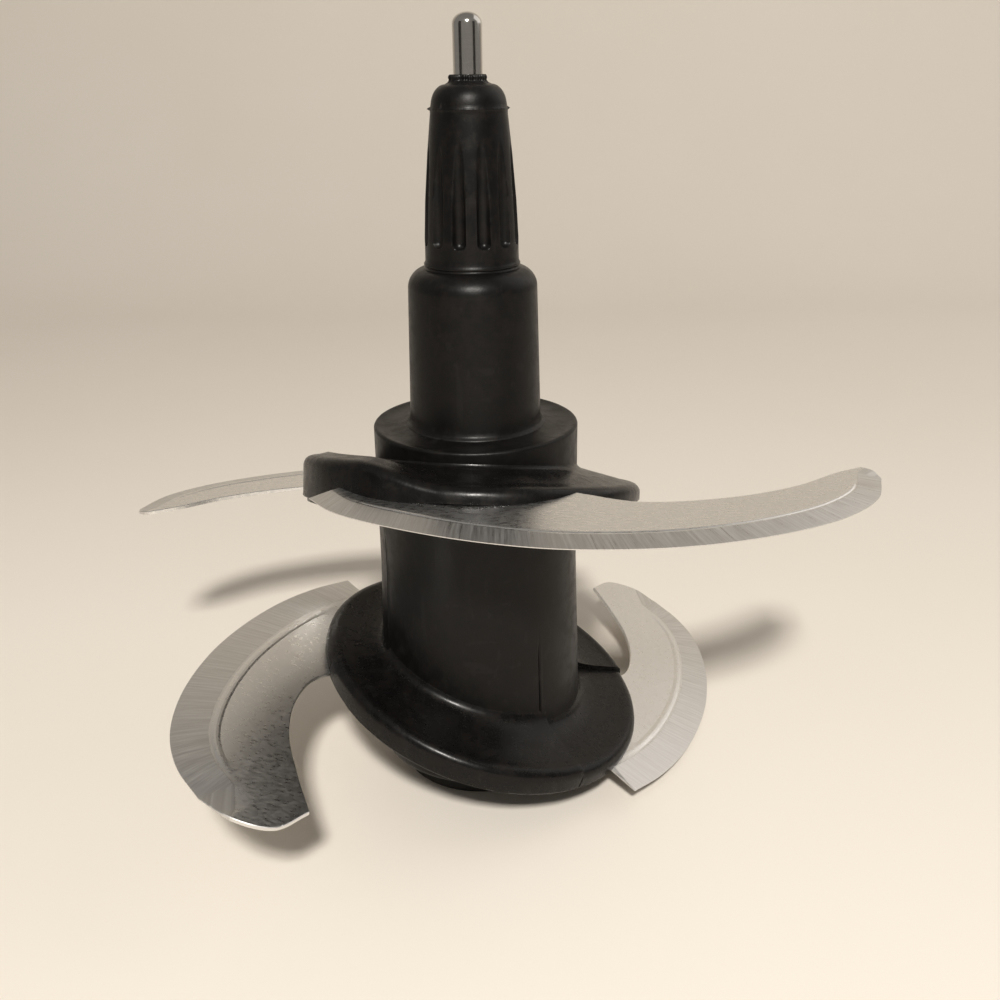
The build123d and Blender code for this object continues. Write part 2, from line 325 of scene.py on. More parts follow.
def distances(points: np.ndarray, line: np.ndarray) -> tuple[np.ndarray, np.ndarray]:
    """Distance of points from an open line, and how far along the line each one's nearest place is.

    Args:
        points: the points to measure.
        line: the line's points.

    Returns:
        The distances and the lengths along the line.
    """
    starts, runs = line[:-1], np.diff(line, axis=0)
    lengths = np.linalg.norm(runs, axis=1)
    before = np.concatenate([[0], np.cumsum(lengths)[:-1]])
    gap = points[:, None, :] - starts[None]
    share = np.clip((gap * runs).sum(2) / (lengths ** 2), 0, 1)
    away = np.linalg.norm(gap - share[..., None] * runs, axis=2)
    nearest = away.argmin(1)
    rows = np.arange(len(points))
    return away[rows, nearest], before[nearest] + share[rows, nearest] * lengths[nearest]


def inside(points: np.ndarray, outline: np.ndarray) -> np.ndarray:
    """Tells which points lie inside a closed outline.

    Args:
        points: the points to test.
        outline: the outline's corners, the first not repeated.

    Returns:
        True for each point that is inside.
    """
    x, y = points[:, 0][:, None], points[:, 1][:, None]
    a, b = outline, np.roll(outline, -1, axis=0)
    crosses = (a[:, 1] > y) != (b[:, 1] > y)
    run = np.where(b[:, 1] == a[:, 1], 1e-9, b[:, 1] - a[:, 1])
    hits = crosses & (x < (b[:, 0] - a[:, 0]) * (y - a[:, 1]) / run + a[:, 0])
    return hits.sum(1) % 2 == 1


def closed(outline: np.ndarray) -> np.ndarray:
    """The outline with its first point repeated at the end."""
    return np.vstack([outline, outline[:1]])


def inward_normals(lead: np.ndarray) -> np.ndarray:
    """Unit vectors that point from a wing's leading edge into the sheet.

    Args:
        lead: points along the leading edge, with the sheet on their left.

    Returns:
        One vector for each point.
    """
    ahead = np.gradient(lead, axis=0)
    inward = np.column_stack([-ahead[:, 1], ahead[:, 0]])
    return inward / np.linalg.norm(inward, axis=1)[:, None]


def broken_edge(away: float, edge: float) -> float:
    """How far a wing's cut edge is rounded off at a distance from the leading edge and from any edge."""
    return BROKEN_DEPTH * max(0.0, 1 - edge / BROKEN_WIDTH) if away > BROKEN_LIMIT else 0


# --- node trees ---------------------------------------------------------------------------------------------
def add_node(tree: bpy.types.NodeTree, kind: str, inputs: dict | None = None,
             **settings: object) -> bpy.types.Node:
    """Adds a shader node and fills its inputs.

    Args:
        tree: the tree that it goes in.
        kind: the node's type name.
        inputs: values or output sockets, by input name or number.
        settings: the node's own properties.

    Returns:
        The node.
    """
    made = tree.nodes.new(kind)
    for name, value in settings.items():
        setattr(made, name, value)
    for name, value in (inputs or {}).items():
        if isinstance(value, bpy.types.NodeSocket):
            tree.links.new(value, made.inputs[name])
        else:
            made.inputs[name].default_value = value
    return made


def add_math(tree: bpy.types.NodeTree, operation: str, *values: Value) -> bpy.types.NodeSocket:
    """Adds a math node and returns its output."""
    return add_node(tree, "ShaderNodeMath", dict(enumerate(values)), operation=operation).outputs[0]


def add_ramp(tree: bpy.types.NodeTree, value: bpy.types.NodeSocket, low: float, high: float,
             out_low: float = 0.0, out_high: float = 1.0) -> bpy.types.NodeSocket:
    """Adds a clamped smooth ramp from one range to another and returns its output."""
    inputs = {"Value": value, "From Min": low, "From Max": high, "To Min": out_low, "To Max": out_high}
    return add_node(tree, "ShaderNodeMapRange", inputs, interpolation_type="SMOOTHSTEP").outputs[0]


def add_noise(tree: bpy.types.NodeTree, vector: bpy.types.NodeSocket, scale: Value, detail: float = 3.0,
              roughness: float = 0.55) -> bpy.types.NodeSocket:
    """Adds a noise texture and returns its value."""
    inputs = {"Vector": vector, "Scale": scale, "Detail": detail, "Roughness": roughness}
    return add_node(tree, "ShaderNodeTexNoise", inputs).outputs[0]


def mix_colour(tree: bpy.types.NodeTree, factor: Value, a: Value, b: Value) -> bpy.types.NodeSocket:
    """Adds a colour mix and returns its result."""
    return add_node(tree, "ShaderNodeMix", {0: factor, 6: a, 7: b}, data_type="RGBA").outputs[2]


def new_group(name: str, inputs: dict[str, tuple[str, object]],
              outputs: dict[str, str]) -> tuple[bpy.types.NodeTree, bpy.types.Node, bpy.types.Node]:
    """Starts a shader node group with named sockets.

    Args:
        name: the group's name.
        inputs: socket kind and default value by name.
        outputs: socket kind by name.

    Returns:
        The group's tree, its input node and its output node.
    """
    tree = bpy.data.node_groups.new(name, "ShaderNodeTree")
    for label, (kind, value) in inputs.items():
        socket = tree.interface.new_socket(label, in_out="INPUT", socket_type=kind)
        if value is not None:
            socket.default_value = value
    for label, kind in outputs.items():
        tree.interface.new_socket(label, in_out="OUTPUT", socket_type=kind)
    return tree, tree.nodes.new("NodeGroupInput"), tree.nodes.new("NodeGroupOutput")


def moulded_grain_group() -> bpy.types.NodeTree:
    """Builds the fine pebble and slow unevenness of a moulded surface.

    Returns:
        A group with Height and Tone outputs.
    """
    tree, start, end = new_group(
        "moulded_grain",
        {"Position": ("NodeSocketVector", None), "Grain Scale": ("NodeSocketFloat", 2600.0),
         "Unevenness": ("NodeSocketFloat", 0.4)},
        {"Height": "NodeSocketFloat", "Tone": "NodeSocketFloat"})
    fine = add_noise(tree, start.outputs["Position"], start.outputs["Grain Scale"], 2.0)
    slow = add_noise(tree, start.outputs["Position"], 130.0, 3.0)
    swell = add_math(tree, "MULTIPLY", slow, start.outputs["Unevenness"])
    tree.links.new(add_math(tree, "ADD", fine, swell), end.inputs["Height"])
    patches = add_noise(tree, start.outputs["Position"], 420.0, 4.0, 0.65)
    tree.links.new(add_ramp(tree, patches, 0.35, 0.72), end.inputs["Tone"])
    return tree


def scuff_group() -> bpy.types.NodeTree:
    """Builds thin wandering scratches and rubbed spots.

    Returns:
        A group with a Mask output.
    """
    tree, start, end = new_group(
        "scuffs",
        {"Position": ("NodeSocketVector", None), "Amount": ("NodeSocketFloat", 0.5)},
        {"Mask": "NodeSocketFloat"})
    masks = []
    for stretch, turn in (((60, 900, 420), 0.4), ((800, 90, 300), 1.9), ((500, 420, 70), 2.7)):
        placed = add_node(tree, "ShaderNodeMapping",
                          {"Vector": start.outputs["Position"], "Rotation": (turn, turn * 0.7, turn * 1.3),
                           "Scale": stretch})
        streak = add_noise(tree, placed.outputs[0], 1.0, 2.0, 0.4)
        masks.append(add_ramp(tree, streak, 0.655, 0.72))
    spots = add_ramp(tree, add_noise(tree, start.outputs["Position"], 2300.0, 1.0), 0.70, 0.78)
    both = add_math(tree, "MAXIMUM", add_math(tree, "MAXIMUM", masks[0], masks[1]),
                    add_math(tree, "MAXIMUM", masks[2], spots))
    tree.links.new(add_math(tree, "MULTIPLY", both, start.outputs["Amount"]), end.inputs["Mask"])
    return tree


def dust_group() -> bpy.types.NodeTree:
    """Builds the light dust that settles on faces that look up, thicker in patches.

    Returns:
        A group with a Mask output.
    """
    tree, start, end = new_group(
        "settled_dust",
        {"Position": ("NodeSocketVector", None), "Amount": ("NodeSocketFloat", 0.3)},
        {"Mask": "NodeSocketFloat"})
    facing = add_node(tree, "ShaderNodeNewGeometry")
    up = add_node(tree, "ShaderNodeSeparateXYZ", {0: facing.outputs["Normal"]})
    level = add_ramp(tree, up.outputs[2], -0.2, 0.95, 0.25, 1.0)
    specks = add_ramp(tree, add_noise(tree, start.outputs["Position"], 3400.0, 2.0, 0.7), 0.55, 0.75)
    film = add_ramp(tree, add_noise(tree, start.outputs["Position"], 240.0, 4.0, 0.6), 0.4, 0.75)
    both = add_math(tree, "ADD", add_math(tree, "MULTIPLY", specks, 0.55),
                    add_math(tree, "MULTIPLY", film, 0.45))
    shaped = add_math(tree, "MULTIPLY", both, level)
    tree.links.new(add_math(tree, "MULTIPLY", shaped, start.outputs["Amount"]), end.inputs["Mask"])
    return tree


def edge_wear_group() -> bpy.types.NodeTree:
    """Builds the rubbed look of outer edges, broken up by noise.

    Returns:
        A group with a Mask output.
    """
    tree, start, end = new_group(
        "edge_wear",
        {"Position": ("NodeSocketVector", None), "Amount": ("NodeSocketFloat", 0.5)},
        {"Mask": "NodeSocketFloat"})
    point = add_node(tree, "ShaderNodeNewGeometry").outputs["Pointiness"]
    edge = add_ramp(tree, point, 0.515, 0.60)
    broken = add_ramp(tree, add_noise(tree, start.outputs["Position"], 900.0, 3.0), 0.3, 0.65)
    shaped = add_math(tree, "MULTIPLY", edge, broken)
    tree.links.new(add_math(tree, "MULTIPLY", shaped, start.outputs["Amount"]), end.inputs["Mask"])
    return tree


def grinding_group() -> bpy.types.NodeTree:
    """Builds wheel marks that run across a ground edge, from the edge map laid on each wing.

    Returns:
        A group with Height, Tone and Band outputs; Band is 1 on the ground strip.
    """
    tree, start, end = new_group(
        "grinding_marks",
        {"Edge Map": ("NodeSocketVector", None), "Band Width": ("NodeSocketFloat", 0.05),
         "Slant": ("NodeSocketFloat", 0.25)},
        {"Height": "NodeSocketFloat", "Tone": "NodeSocketFloat", "Band": "NodeSocketFloat"})
    split = add_node(tree, "ShaderNodeSeparateXYZ", {0: start.outputs["Edge Map"]})
    lean = add_math(tree, "MULTIPLY", split.outputs[1], start.outputs["Slant"])
    along = add_math(tree, "ADD", split.outputs[0], lean)
    coarse_at = add_node(tree, "ShaderNodeCombineXYZ",
                         {0: add_math(tree, "MULTIPLY", along, 190.0),
                          1: add_math(tree, "MULTIPLY", split.outputs[1], 9.0)})
    fine_at = add_node(tree, "ShaderNodeCombineXYZ",
                       {0: add_math(tree, "MULTIPLY", along, 620.0),
                        1: add_math(tree, "MULTIPLY", split.outputs[1], 26.0)})
    coarse = add_noise(tree, coarse_at.outputs[0], 1.0, 2.0)
    fine = add_noise(tree, fine_at.outputs[0], 1.0, 3.0)
    height = add_math(tree, "ADD", add_math(tree, "MULTIPLY", coarse, 0.6),
                      add_math(tree, "MULTIPLY", fine, 0.4))
    wander = add_math(tree, "MULTIPLY", add_noise(tree, start.outputs["Edge Map"], 40.0, 2.0), 0.004)
    limit = add_math(tree, "ADD", start.outputs["Band Width"], wander)
    depth = add_math(tree, "SUBTRACT", limit, split.outputs[1])
    tree.links.new(height, end.inputs["Height"])
    tree.links.new(add_ramp(tree, height, 0.32, 0.68), end.inputs["Tone"])
    tree.links.new(add_ramp(tree, depth, 0.0, 0.002), end.inputs["Band"])
    return tree


@dataclass(frozen=True)
class Effects:
    """The shared node groups, each built once."""

    grain: bpy.types.NodeTree = field(default_factory=moulded_grain_group)
    scuffs: bpy.types.NodeTree = field(default_factory=scuff_group)
    dust: bpy.types.NodeTree = field(default_factory=dust_group)
    wear: bpy.types.NodeTree = field(default_factory=edge_wear_group)
    grinding: bpy.types.NodeTree = field(default_factory=grinding_group)


def start_material(name: str) -> tuple[bpy.types.Material, bpy.types.NodeTree, bpy.types.Node]:
    """Makes an empty material with its shader and output.

    Args:
        name: the material's name.

    Returns:
        The material, its tree and its Principled shader.
    """
    material = bpy.data.materials.new(name)
    material.use_nodes = True
    tree = material.node_tree
    tree.nodes.clear()
    shader = tree.nodes.new("ShaderNodeBsdfPrincipled")
    output = tree.nodes.new("ShaderNodeOutputMaterial")
    tree.links.new(shader.outputs[0], output.inputs[0])
    return material, tree, shader


def place_group(tree: bpy.types.NodeTree, group: bpy.types.NodeTree, inputs: dict) -> bpy.types.Node:
    """Places a shared group in a material with its own values."""
    return add_node(tree, "ShaderNodeGroup", inputs, node_tree=group)


@dataclass(frozen=True)
class MouldedFinish:
    """Black moulded plastic or rubber: fine grain, scuffs, dust and rubbed edges."""

    name: str
    dark: Colour
    warm: Colour
    gloss_low: float
    gloss_high: float
    grain_depth: float
    dust: float
    scuffs: float
    wear: float = 0.4
    grain_scale: float = 2600.0
    specular: float = 0.20

    def build(self, effects: Effects) -> bpy.types.Material:
        """Makes the material.

        Args:
            effects: the shared node groups.

        Returns:
            The material.
        """
        material, tree, shader = start_material(self.name)
        place = add_node(tree, "ShaderNodeTexCoord").outputs["Object"]
        grain = place_group(tree, effects.grain, {"Position": place, "Grain Scale": self.grain_scale})
        scuffs = place_group(tree, effects.scuffs, {"Position": place, "Amount": self.scuffs})
        dust = place_group(tree, effects.dust, {"Position": place, "Amount": self.dust})
        wear = place_group(tree, effects.wear, {"Position": place, "Amount": self.wear})
        colour = mix_colour(tree, grain.outputs["Tone"], (*self.dark, 1), (*self.warm, 1))
        colour = mix_colour(tree, wear.outputs["Mask"], colour, RUBBED_TONE)
        colour = mix_colour(tree, scuffs.outputs["Mask"], colour, SCUFF_TONE)
        colour = mix_colour(tree, dust.outputs["Mask"], colour, DUST_TONE)
        tree.links.new(colour, shader.inputs["Base Color"])
        gloss = add_ramp(tree, grain.outputs["Tone"], 0.0, 1.0, self.gloss_low, self.gloss_high)
        rubbed = add_math(tree, "MULTIPLY", dust.outputs["Mask"], 0.35)
        tree.links.new(add_math(tree, "ADD", gloss, rubbed), shader.inputs["Roughness"])
        shader.inputs["Specular IOR Level"].default_value = self.specular
        cut = add_math(tree, "MULTIPLY", scuffs.outputs["Mask"], -0.8)
        height = add_math(tree, "ADD", grain.outputs["Height"], cut)
        bump = add_node(tree, "ShaderNodeBump",
                        {"Height": height, "Strength": 1.0, "Distance": self.grain_depth * MM})
        tree.links.new(bump.outputs[0], shader.inputs["Normal"])
        return material


@dataclass(frozen=True)
class WingFinish:
    """Satin stainless sheet with a ground leading edge, whose band is as wide as band says in decimetres."""

    name: str
    sheet: Colour
    ground: Colour
    sheet_roughness: float
    ground_roughness: float
    band: float

    def build(self, effects: Effects) -> bpy.types.Material:
        """Makes the material.

        Args:
            effects: the shared node groups.

        Returns:
            The material.
        """
        material, tree, shader = start_material(self.name)
        place = add_node(tree, "ShaderNodeTexCoord").outputs["Object"]
        edge_map = add_node(tree, "ShaderNodeUVMap", uv_map=WING_MAP).outputs[0]
        grinding = place_group(tree, effects.grinding, {"Edge Map": edge_map, "Band Width": self.band})
        scuffs = place_group(tree, effects.scuffs, {"Position": place, "Amount": 0.15})
        stretched = add_node(tree, "ShaderNodeMapping",
                             {"Vector": place, "Scale": (700.0, 2600.0, 1800.0), "Rotation": (0, 0, 0.6)})
        brushed = add_noise(tree, stretched.outputs[0], 1.0, 2.0, 0.5)
        cloud = add_ramp(tree, add_noise(tree, place, 55.0, 4.0), 0.3, 0.7)
        pits = add_ramp(tree, add_noise(tree, place, 2100.0, 1.0), 0.69, 0.76)
        satin = mix_colour(tree, add_math(tree, "MULTIPLY", brushed, 0.4), (*self.sheet, 1), BRUSHED_TONE)
        satin = mix_colour(tree, add_math(tree, "MULTIPLY", cloud, 0.2), satin, CLOUD_TONE)
        satin = mix_colour(tree, add_math(tree, "MULTIPLY", pits, 0.08), satin, PIT_TONE)
        marks = mix_colour(tree, grinding.outputs["Tone"], GROOVE_TONE, (*self.ground, 1))
        tree.links.new(mix_colour(tree, grinding.outputs["Band"], satin, marks), shader.inputs["Base Color"])
        shader.inputs["Metallic"].default_value = 1.0
        on_band = add_math(tree, "MULTIPLY", grinding.outputs["Tone"], 0.16)
        band_rough = add_math(tree, "ADD", on_band, self.ground_roughness)
        sheet_rough = add_ramp(tree, brushed, 0.3, 0.7,
                               self.sheet_roughness - 0.05, self.sheet_roughness + 0.06)
        gap = add_math(tree, "SUBTRACT", band_rough, sheet_rough)
        step = add_math(tree, "MULTIPLY", gap, grinding.outputs["Band"])
        rough = add_math(tree, "ADD", sheet_rough, step)
        tree.links.new(add_math(tree, "ADD", rough, add_math(tree, "MULTIPLY", scuffs.outputs["Mask"], 0.12)),
                       shader.inputs["Roughness"])
        ground = add_math(tree, "MULTIPLY", grinding.outputs["Height"], grinding.outputs["Band"])
        bump = add_node(tree, "ShaderNodeBump", {"Height": ground, "Strength": 1.0, "Distance": 0.014 * MM})
        tree.links.new(bump.outputs[0], shader.inputs["Normal"])
        return material


@dataclass(frozen=True)
class TurnedFinish:
    """Turned or polished metal with fine rings about the rotor's axis."""

    name: str
    tone: Colour
    roughness: float
    ring_depth: float
    stain: float = 0.2

    def build(self, effects: Effects) -> bpy.types.Material:
        """Makes the material.

        Args:
            effects: the shared node groups.

        Returns:
            The material.
        """
        material, tree, shader = start_material(self.name)
        place = add_node(tree, "ShaderNodeTexCoord").outputs["Object"]
        rings_at = add_node(tree, "ShaderNodeMapping", {"Vector": place, "Scale": (60.0, 60.0, 5200.0)})
        rings = add_noise(tree, rings_at.outputs[0], 1.0, 3.0, 0.6)
        scuffs = place_group(tree, effects.scuffs, {"Position": place, "Amount": 0.4})
        stain = add_ramp(tree, add_noise(tree, place, 380.0, 4.0, 0.6), 0.5, 0.8, 0.0, self.stain)
        dark = tuple(c * 0.55 for c in self.tone)
        colour = mix_colour(tree, stain, (*self.tone, 1), (*dark, 1))
        tree.links.new(colour, shader.inputs["Base Color"])
        shader.inputs["Metallic"].default_value = 1.0
        rough = add_ramp(tree, rings, 0.3, 0.7, self.roughness * 0.8, self.roughness * 1.35)
        tree.links.new(add_math(tree, "ADD", rough, add_math(tree, "MULTIPLY", scuffs.outputs["Mask"], 0.15)),
                       shader.inputs["Roughness"])
        bump = add_node(tree, "ShaderNodeBump",
                        {"Height": rings, "Strength": 1.0, "Distance": self.ring_depth * MM})
        tree.links.new(bump.outputs[0], shader.inputs["Normal"])
        return material


@dataclass(frozen=True)
class Finishes:
    """Every finish on the rotor."""

    spindle: bpy.types.Material
    hub: bpy.types.Material
    flange: bpy.types.Material
    foot: bpy.types.Material
    wings: dict[WingKind, bpy.types.Material]
    pin: bpy.types.Material
    steel: bpy.types.Material
    bush: bpy.types.Material


def make_finishes() -> Finishes:
    """Builds the shared effects and every material from them.

    Returns:
        The finished materials.
    """
    effects = Effects()
    black, brown = (0.0035, 0.0033, 0.0034), (0.0055, 0.0045, 0.0040)
    rubber, grey_rubber = (0.010, 0.010, 0.010), (0.016, 0.015, 0.014)
    sheet, ground = (0.84, 0.835, 0.825), (0.76, 0.755, 0.745)
    dust, scuffs = 0.015, 0.02
    spindle = MouldedFinish("spindle_moulding", black, brown, 0.34, 0.44, 0.014, dust, scuffs)
    hub = MouldedFinish("hub_moulding", black, brown, 0.36, 0.46, 0.016, dust, scuffs)
    flange = MouldedFinish("flange_moulding", black, brown, 0.26, 0.36, 0.012, dust, scuffs)
    foot = MouldedFinish("foot_moulding", rubber, grey_rubber, 0.6, 0.75, 0.02, 0.06, scuffs)
    return Finishes(
        spindle=spindle.build(effects),
        hub=hub.build(effects),
        flange=flange.build(effects),
        foot=foot.build(effects),
        wings={
            WingKind.UPPER: WingFinish("upper_wing_steel", sheet, ground, 0.30, 0.26, 0.040).build(effects),
            WingKind.LOWER: WingFinish("lower_wing_steel", sheet, ground, 0.32, 0.28, 0.062).build(effects),
        },
        pin=TurnedFinish("pin_polished_steel", (0.62, 0.60, 0.57), 0.13, 0.004).build(effects),
        steel=TurnedFinish("turned_steel", (0.50, 0.50, 0.51), 0.28, 0.010, 0.3).build(effects),
        bush=TurnedFinish("sintered_bronze", (0.50, 0.36, 0.20), 0.42, 0.012, 0.5).build(effects),
    )


# --- spindle ------------------------------------------------------------------------------------------------
@dataclass(frozen=True)
class CentringPin:
    """Polished pin with a domed top, pressed into the drive head."""

    radius: float = 2.5
    dome: float = 1.9
    chamfer: float = 0.4
    dome_steps: int = 12
    segments: int = 64

    def build(self, finishes: Finishes) -> None:
        """Turns the pin with a rounded top and a chamfered buried end.

        Args:
            finishes: every finish on the rotor.
        """
        low, high = bottom("centring_pin"), top("centring_pin")
        steps, cut = self.dome_steps, self.chamfer
        profile = [(0, low), (self.radius - cut, low), (self.radius, low + cut)]
        profile += [(self.radius, low + cut + (high - self.dome - low - cut) * i / steps)
                    for i in range(1, steps)]
        for i in range(steps + 1):
            angle = math.radians(i * 90 / steps)
            profile.append((self.radius * math.cos(angle), high - self.dome + self.dome * math.sin(angle)))
        profile[-1] = (0, high)
        points, faces = lathe(profile, even_angles(self.segments))
        make_piece("centring_pin_turned", points, faces, finishes.pin, ("centring_pin",), 60)


@dataclass(frozen=True)
class DriveSpindle:
    """Fluted drive head over a round-shouldered neck."""

    pin_radius: float = 2.5
    boss_radius: float = 3.6
    head_top_radius: float = 6.6
    head_mid_radius: float = 8.0
    head_foot_radius: float = 8.35
    head_height: float = 26.0
    dome_rise: float = 3.9
    neck_top_radius: float = 11.65
    neck_foot_radius: float = 12.2
    shoulder: float = 3.6
    bead_radius: float = 12.55
    spigot_radius: float = 10.4
    flutes: int = 12
    flute_radius: float = 1.15
    flute_floor: float = 7.1
    flute_lift: float = 4.5
    ring_radius: float = 3.0
    crown_drop: float = 5.4
    mid_rise: float = 10.8
    flash_height: float = 0.22
    flash_depth: float = 0.10
    spur_headings: tuple[float, float] = (0.06, 3.1)
    spur_width: float = 0.05
    spur_length: float = 0.45
    torn_height: float = 0.8
    wall_step: float = 0.45
    core_gap: float = 0.3
    samples_per_flute: int = 20
    land_spans: int = 6
    flute_margin: float = 1.06

    def angles(self) -> list[float]:
        """Azimuths packed closely across each flute and loosely over the land between flutes.

        Returns:
            The azimuths, in radians.
        """
        pitch = math.tau / self.flutes
        half = math.asin(self.flute_radius / (self.flute_floor + self.flute_radius)) * self.flute_margin
        out = []
        for flute in range(self.flutes):
            centre = (flute + 0.5) * pitch
            across = self.samples_per_flute - self.land_spans
            out += [centre + half * (2 * i / across - 1) for i in range(across + 1)]
            land = pitch - 2 * half
            out += [centre + half + land * i / self.land_spans for i in range(1, self.land_spans)]
        return out

    def head_foot(self) -> float:
        """Height of the seam under the fluted head."""
        return self.head_top() - self.head_height

    def head_top(self) -> float:
        """Height of the parting line round the head's top."""
        return top("drive_spindle") - self.crown_drop

    def shape(self, radius: float, height: float, angle: float) -> float:
        """Radius of the moulded surface: flutes cut in, parting flash and slight ripple added.

        Args:
            radius: the turned radius.
            height: height above the foot plane.
            angle: azimuth in radians.

        Returns:
            The radius to use there.
        """
        flash = math.exp(-((height - self.head_top()) / self.flash_height) ** 2)
        if flash > 0.02:
            spur = max(math.exp(-((abs(math.remainder(angle - heading, math.tau))) / self.spur_width) ** 2)
                       for heading in self.spur_headings)
            radius += flash * (self.flash_depth + 0.06 * ragged(angle, 1.0) + self.spur_length * spur)
        lip = math.exp(-((height - top("drive_spindle") + 0.5) / self.torn_height) ** 2)
        if lip > 0.02 and self.pin_radius + 0.1 < radius < self.boss_radius:
            radius += lip * (0.12 + 0.30 * ragged(angle, 2.0))
        start = self.head_foot() + self.flute_lift
        if not start - self.flute_radius < height < self.head_top() + 1.0 or radius < self.flute_floor:
            return radius
        centre = self.flute_floor + self.flute_radius
        pitch = math.tau / self.flutes
        offset = math.remainder(angle - 0.5 * pitch, pitch)
        reach = self.flute_radius ** 2 - max(start - height, 0.0) ** 2 - (centre * math.sin(offset)) ** 2
        if reach <= 0:
            return radius
        return min(radius, centre * math.cos(offset) - math.sqrt(reach))

    def profile(self) -> list[Point]:
        """Turned outline from the neck's bead up to the pin.

        Returns:
            (radius, height) points, from the spigot's foot to the hole that the pin stands in.
        """
        deck, seat = top("hub_barrel"), top("drive_spindle")
        foot, crown = self.head_foot(), self.head_top()
        neck_top = foot - 0.6
        centre = (self.neck_top_radius - self.shoulder, neck_top - self.shoulder)
        neck = [(self.spigot_radius, deck - 3), (self.spigot_radius, deck), (self.bead_radius + 0.5, deck),
                (self.bead_radius + 0.35, deck + 0.25), (self.bead_radius, deck + 0.45),
                (self.bead_radius - 0.1, deck + 0.75), (self.neck_foot_radius + 0.08, deck + 1.1),
                (self.neck_foot_radius, deck + 1.8)]
        shoulder = arc(centre, self.shoulder, 0, 83, 14)
        wide, narrow, boss_edge = self.head_foot_radius, self.head_top_radius, self.boss_radius
        ledge = [(wide + 0.42, neck_top - 0.02), (wide + 0.16, neck_top + 0.1), (wide + 0.10, neck_top + 0.3),
                 (wide + 0.24, foot - 0.12), (wide + 0.26, foot + 0.1), (wide + 0.12, foot + 0.35),
                 (wide, foot + 0.6)]
        flute_start = foot + self.flute_lift
        end = [(wide - 0.02, foot + 1.6), (wide - 0.03, foot + 2.6)]
        end += [(wide - 0.04, flute_start - self.flute_radius + 0.12 * i) for i in range(11)]
        mid = foot + self.mid_rise
        wall = subdivide([end[-1], (self.head_mid_radius, mid), (narrow + 0.72, mid + 8.2),
                          (narrow, crown - 0.3)], self.wall_step)[1:]
        flash = [(narrow, crown - 0.15), (narrow, crown), (narrow - 0.04, crown + 0.15),
                 (narrow - 0.08, crown + 0.35)]
        dome = [(boss_edge + 0.3 + (narrow - 0.4 - boss_edge) * math.cos(math.radians(a)),
                 crown + 0.35 + (self.dome_rise - 0.35) * math.sin(math.radians(a)))
                for a in range(8, 91, 8)]
        boss = [(boss_edge - 0.2, crown + self.dome_rise + 0.25), (self.ring_radius + 0.12, seat - 1.0),
                (self.ring_radius, seat - 0.8), (self.ring_radius + 0.08, seat - 0.5),
                (self.ring_radius + 0.05, seat - 0.2), (self.ring_radius - 0.1, seat),
                (self.pin_radius + 0.35, seat), (self.pin_radius + 0.05, seat - 0.25),
                (self.pin_radius - 0.05, seat - 1.5)]
        return neck + shoulder + ledge + end + wall + flash + dome + boss

    def build(self, finishes: Finishes) -> None:
        """Lathes the spindle with its flutes and closes it with an inner wall.

        Args:
            finishes: every finish on the rotor.
        """
        outline = self.profile()
        low, high = outline[0][1], outline[-1][1]
        core = self.pin_radius - self.core_gap
        points, faces = lathe(outline + [(core, high), (core, low)], self.angles(), self.shape)
        make_piece("drive_spindle_moulded", points, faces, finishes.spindle,
                   ("drive_spindle",), 50)


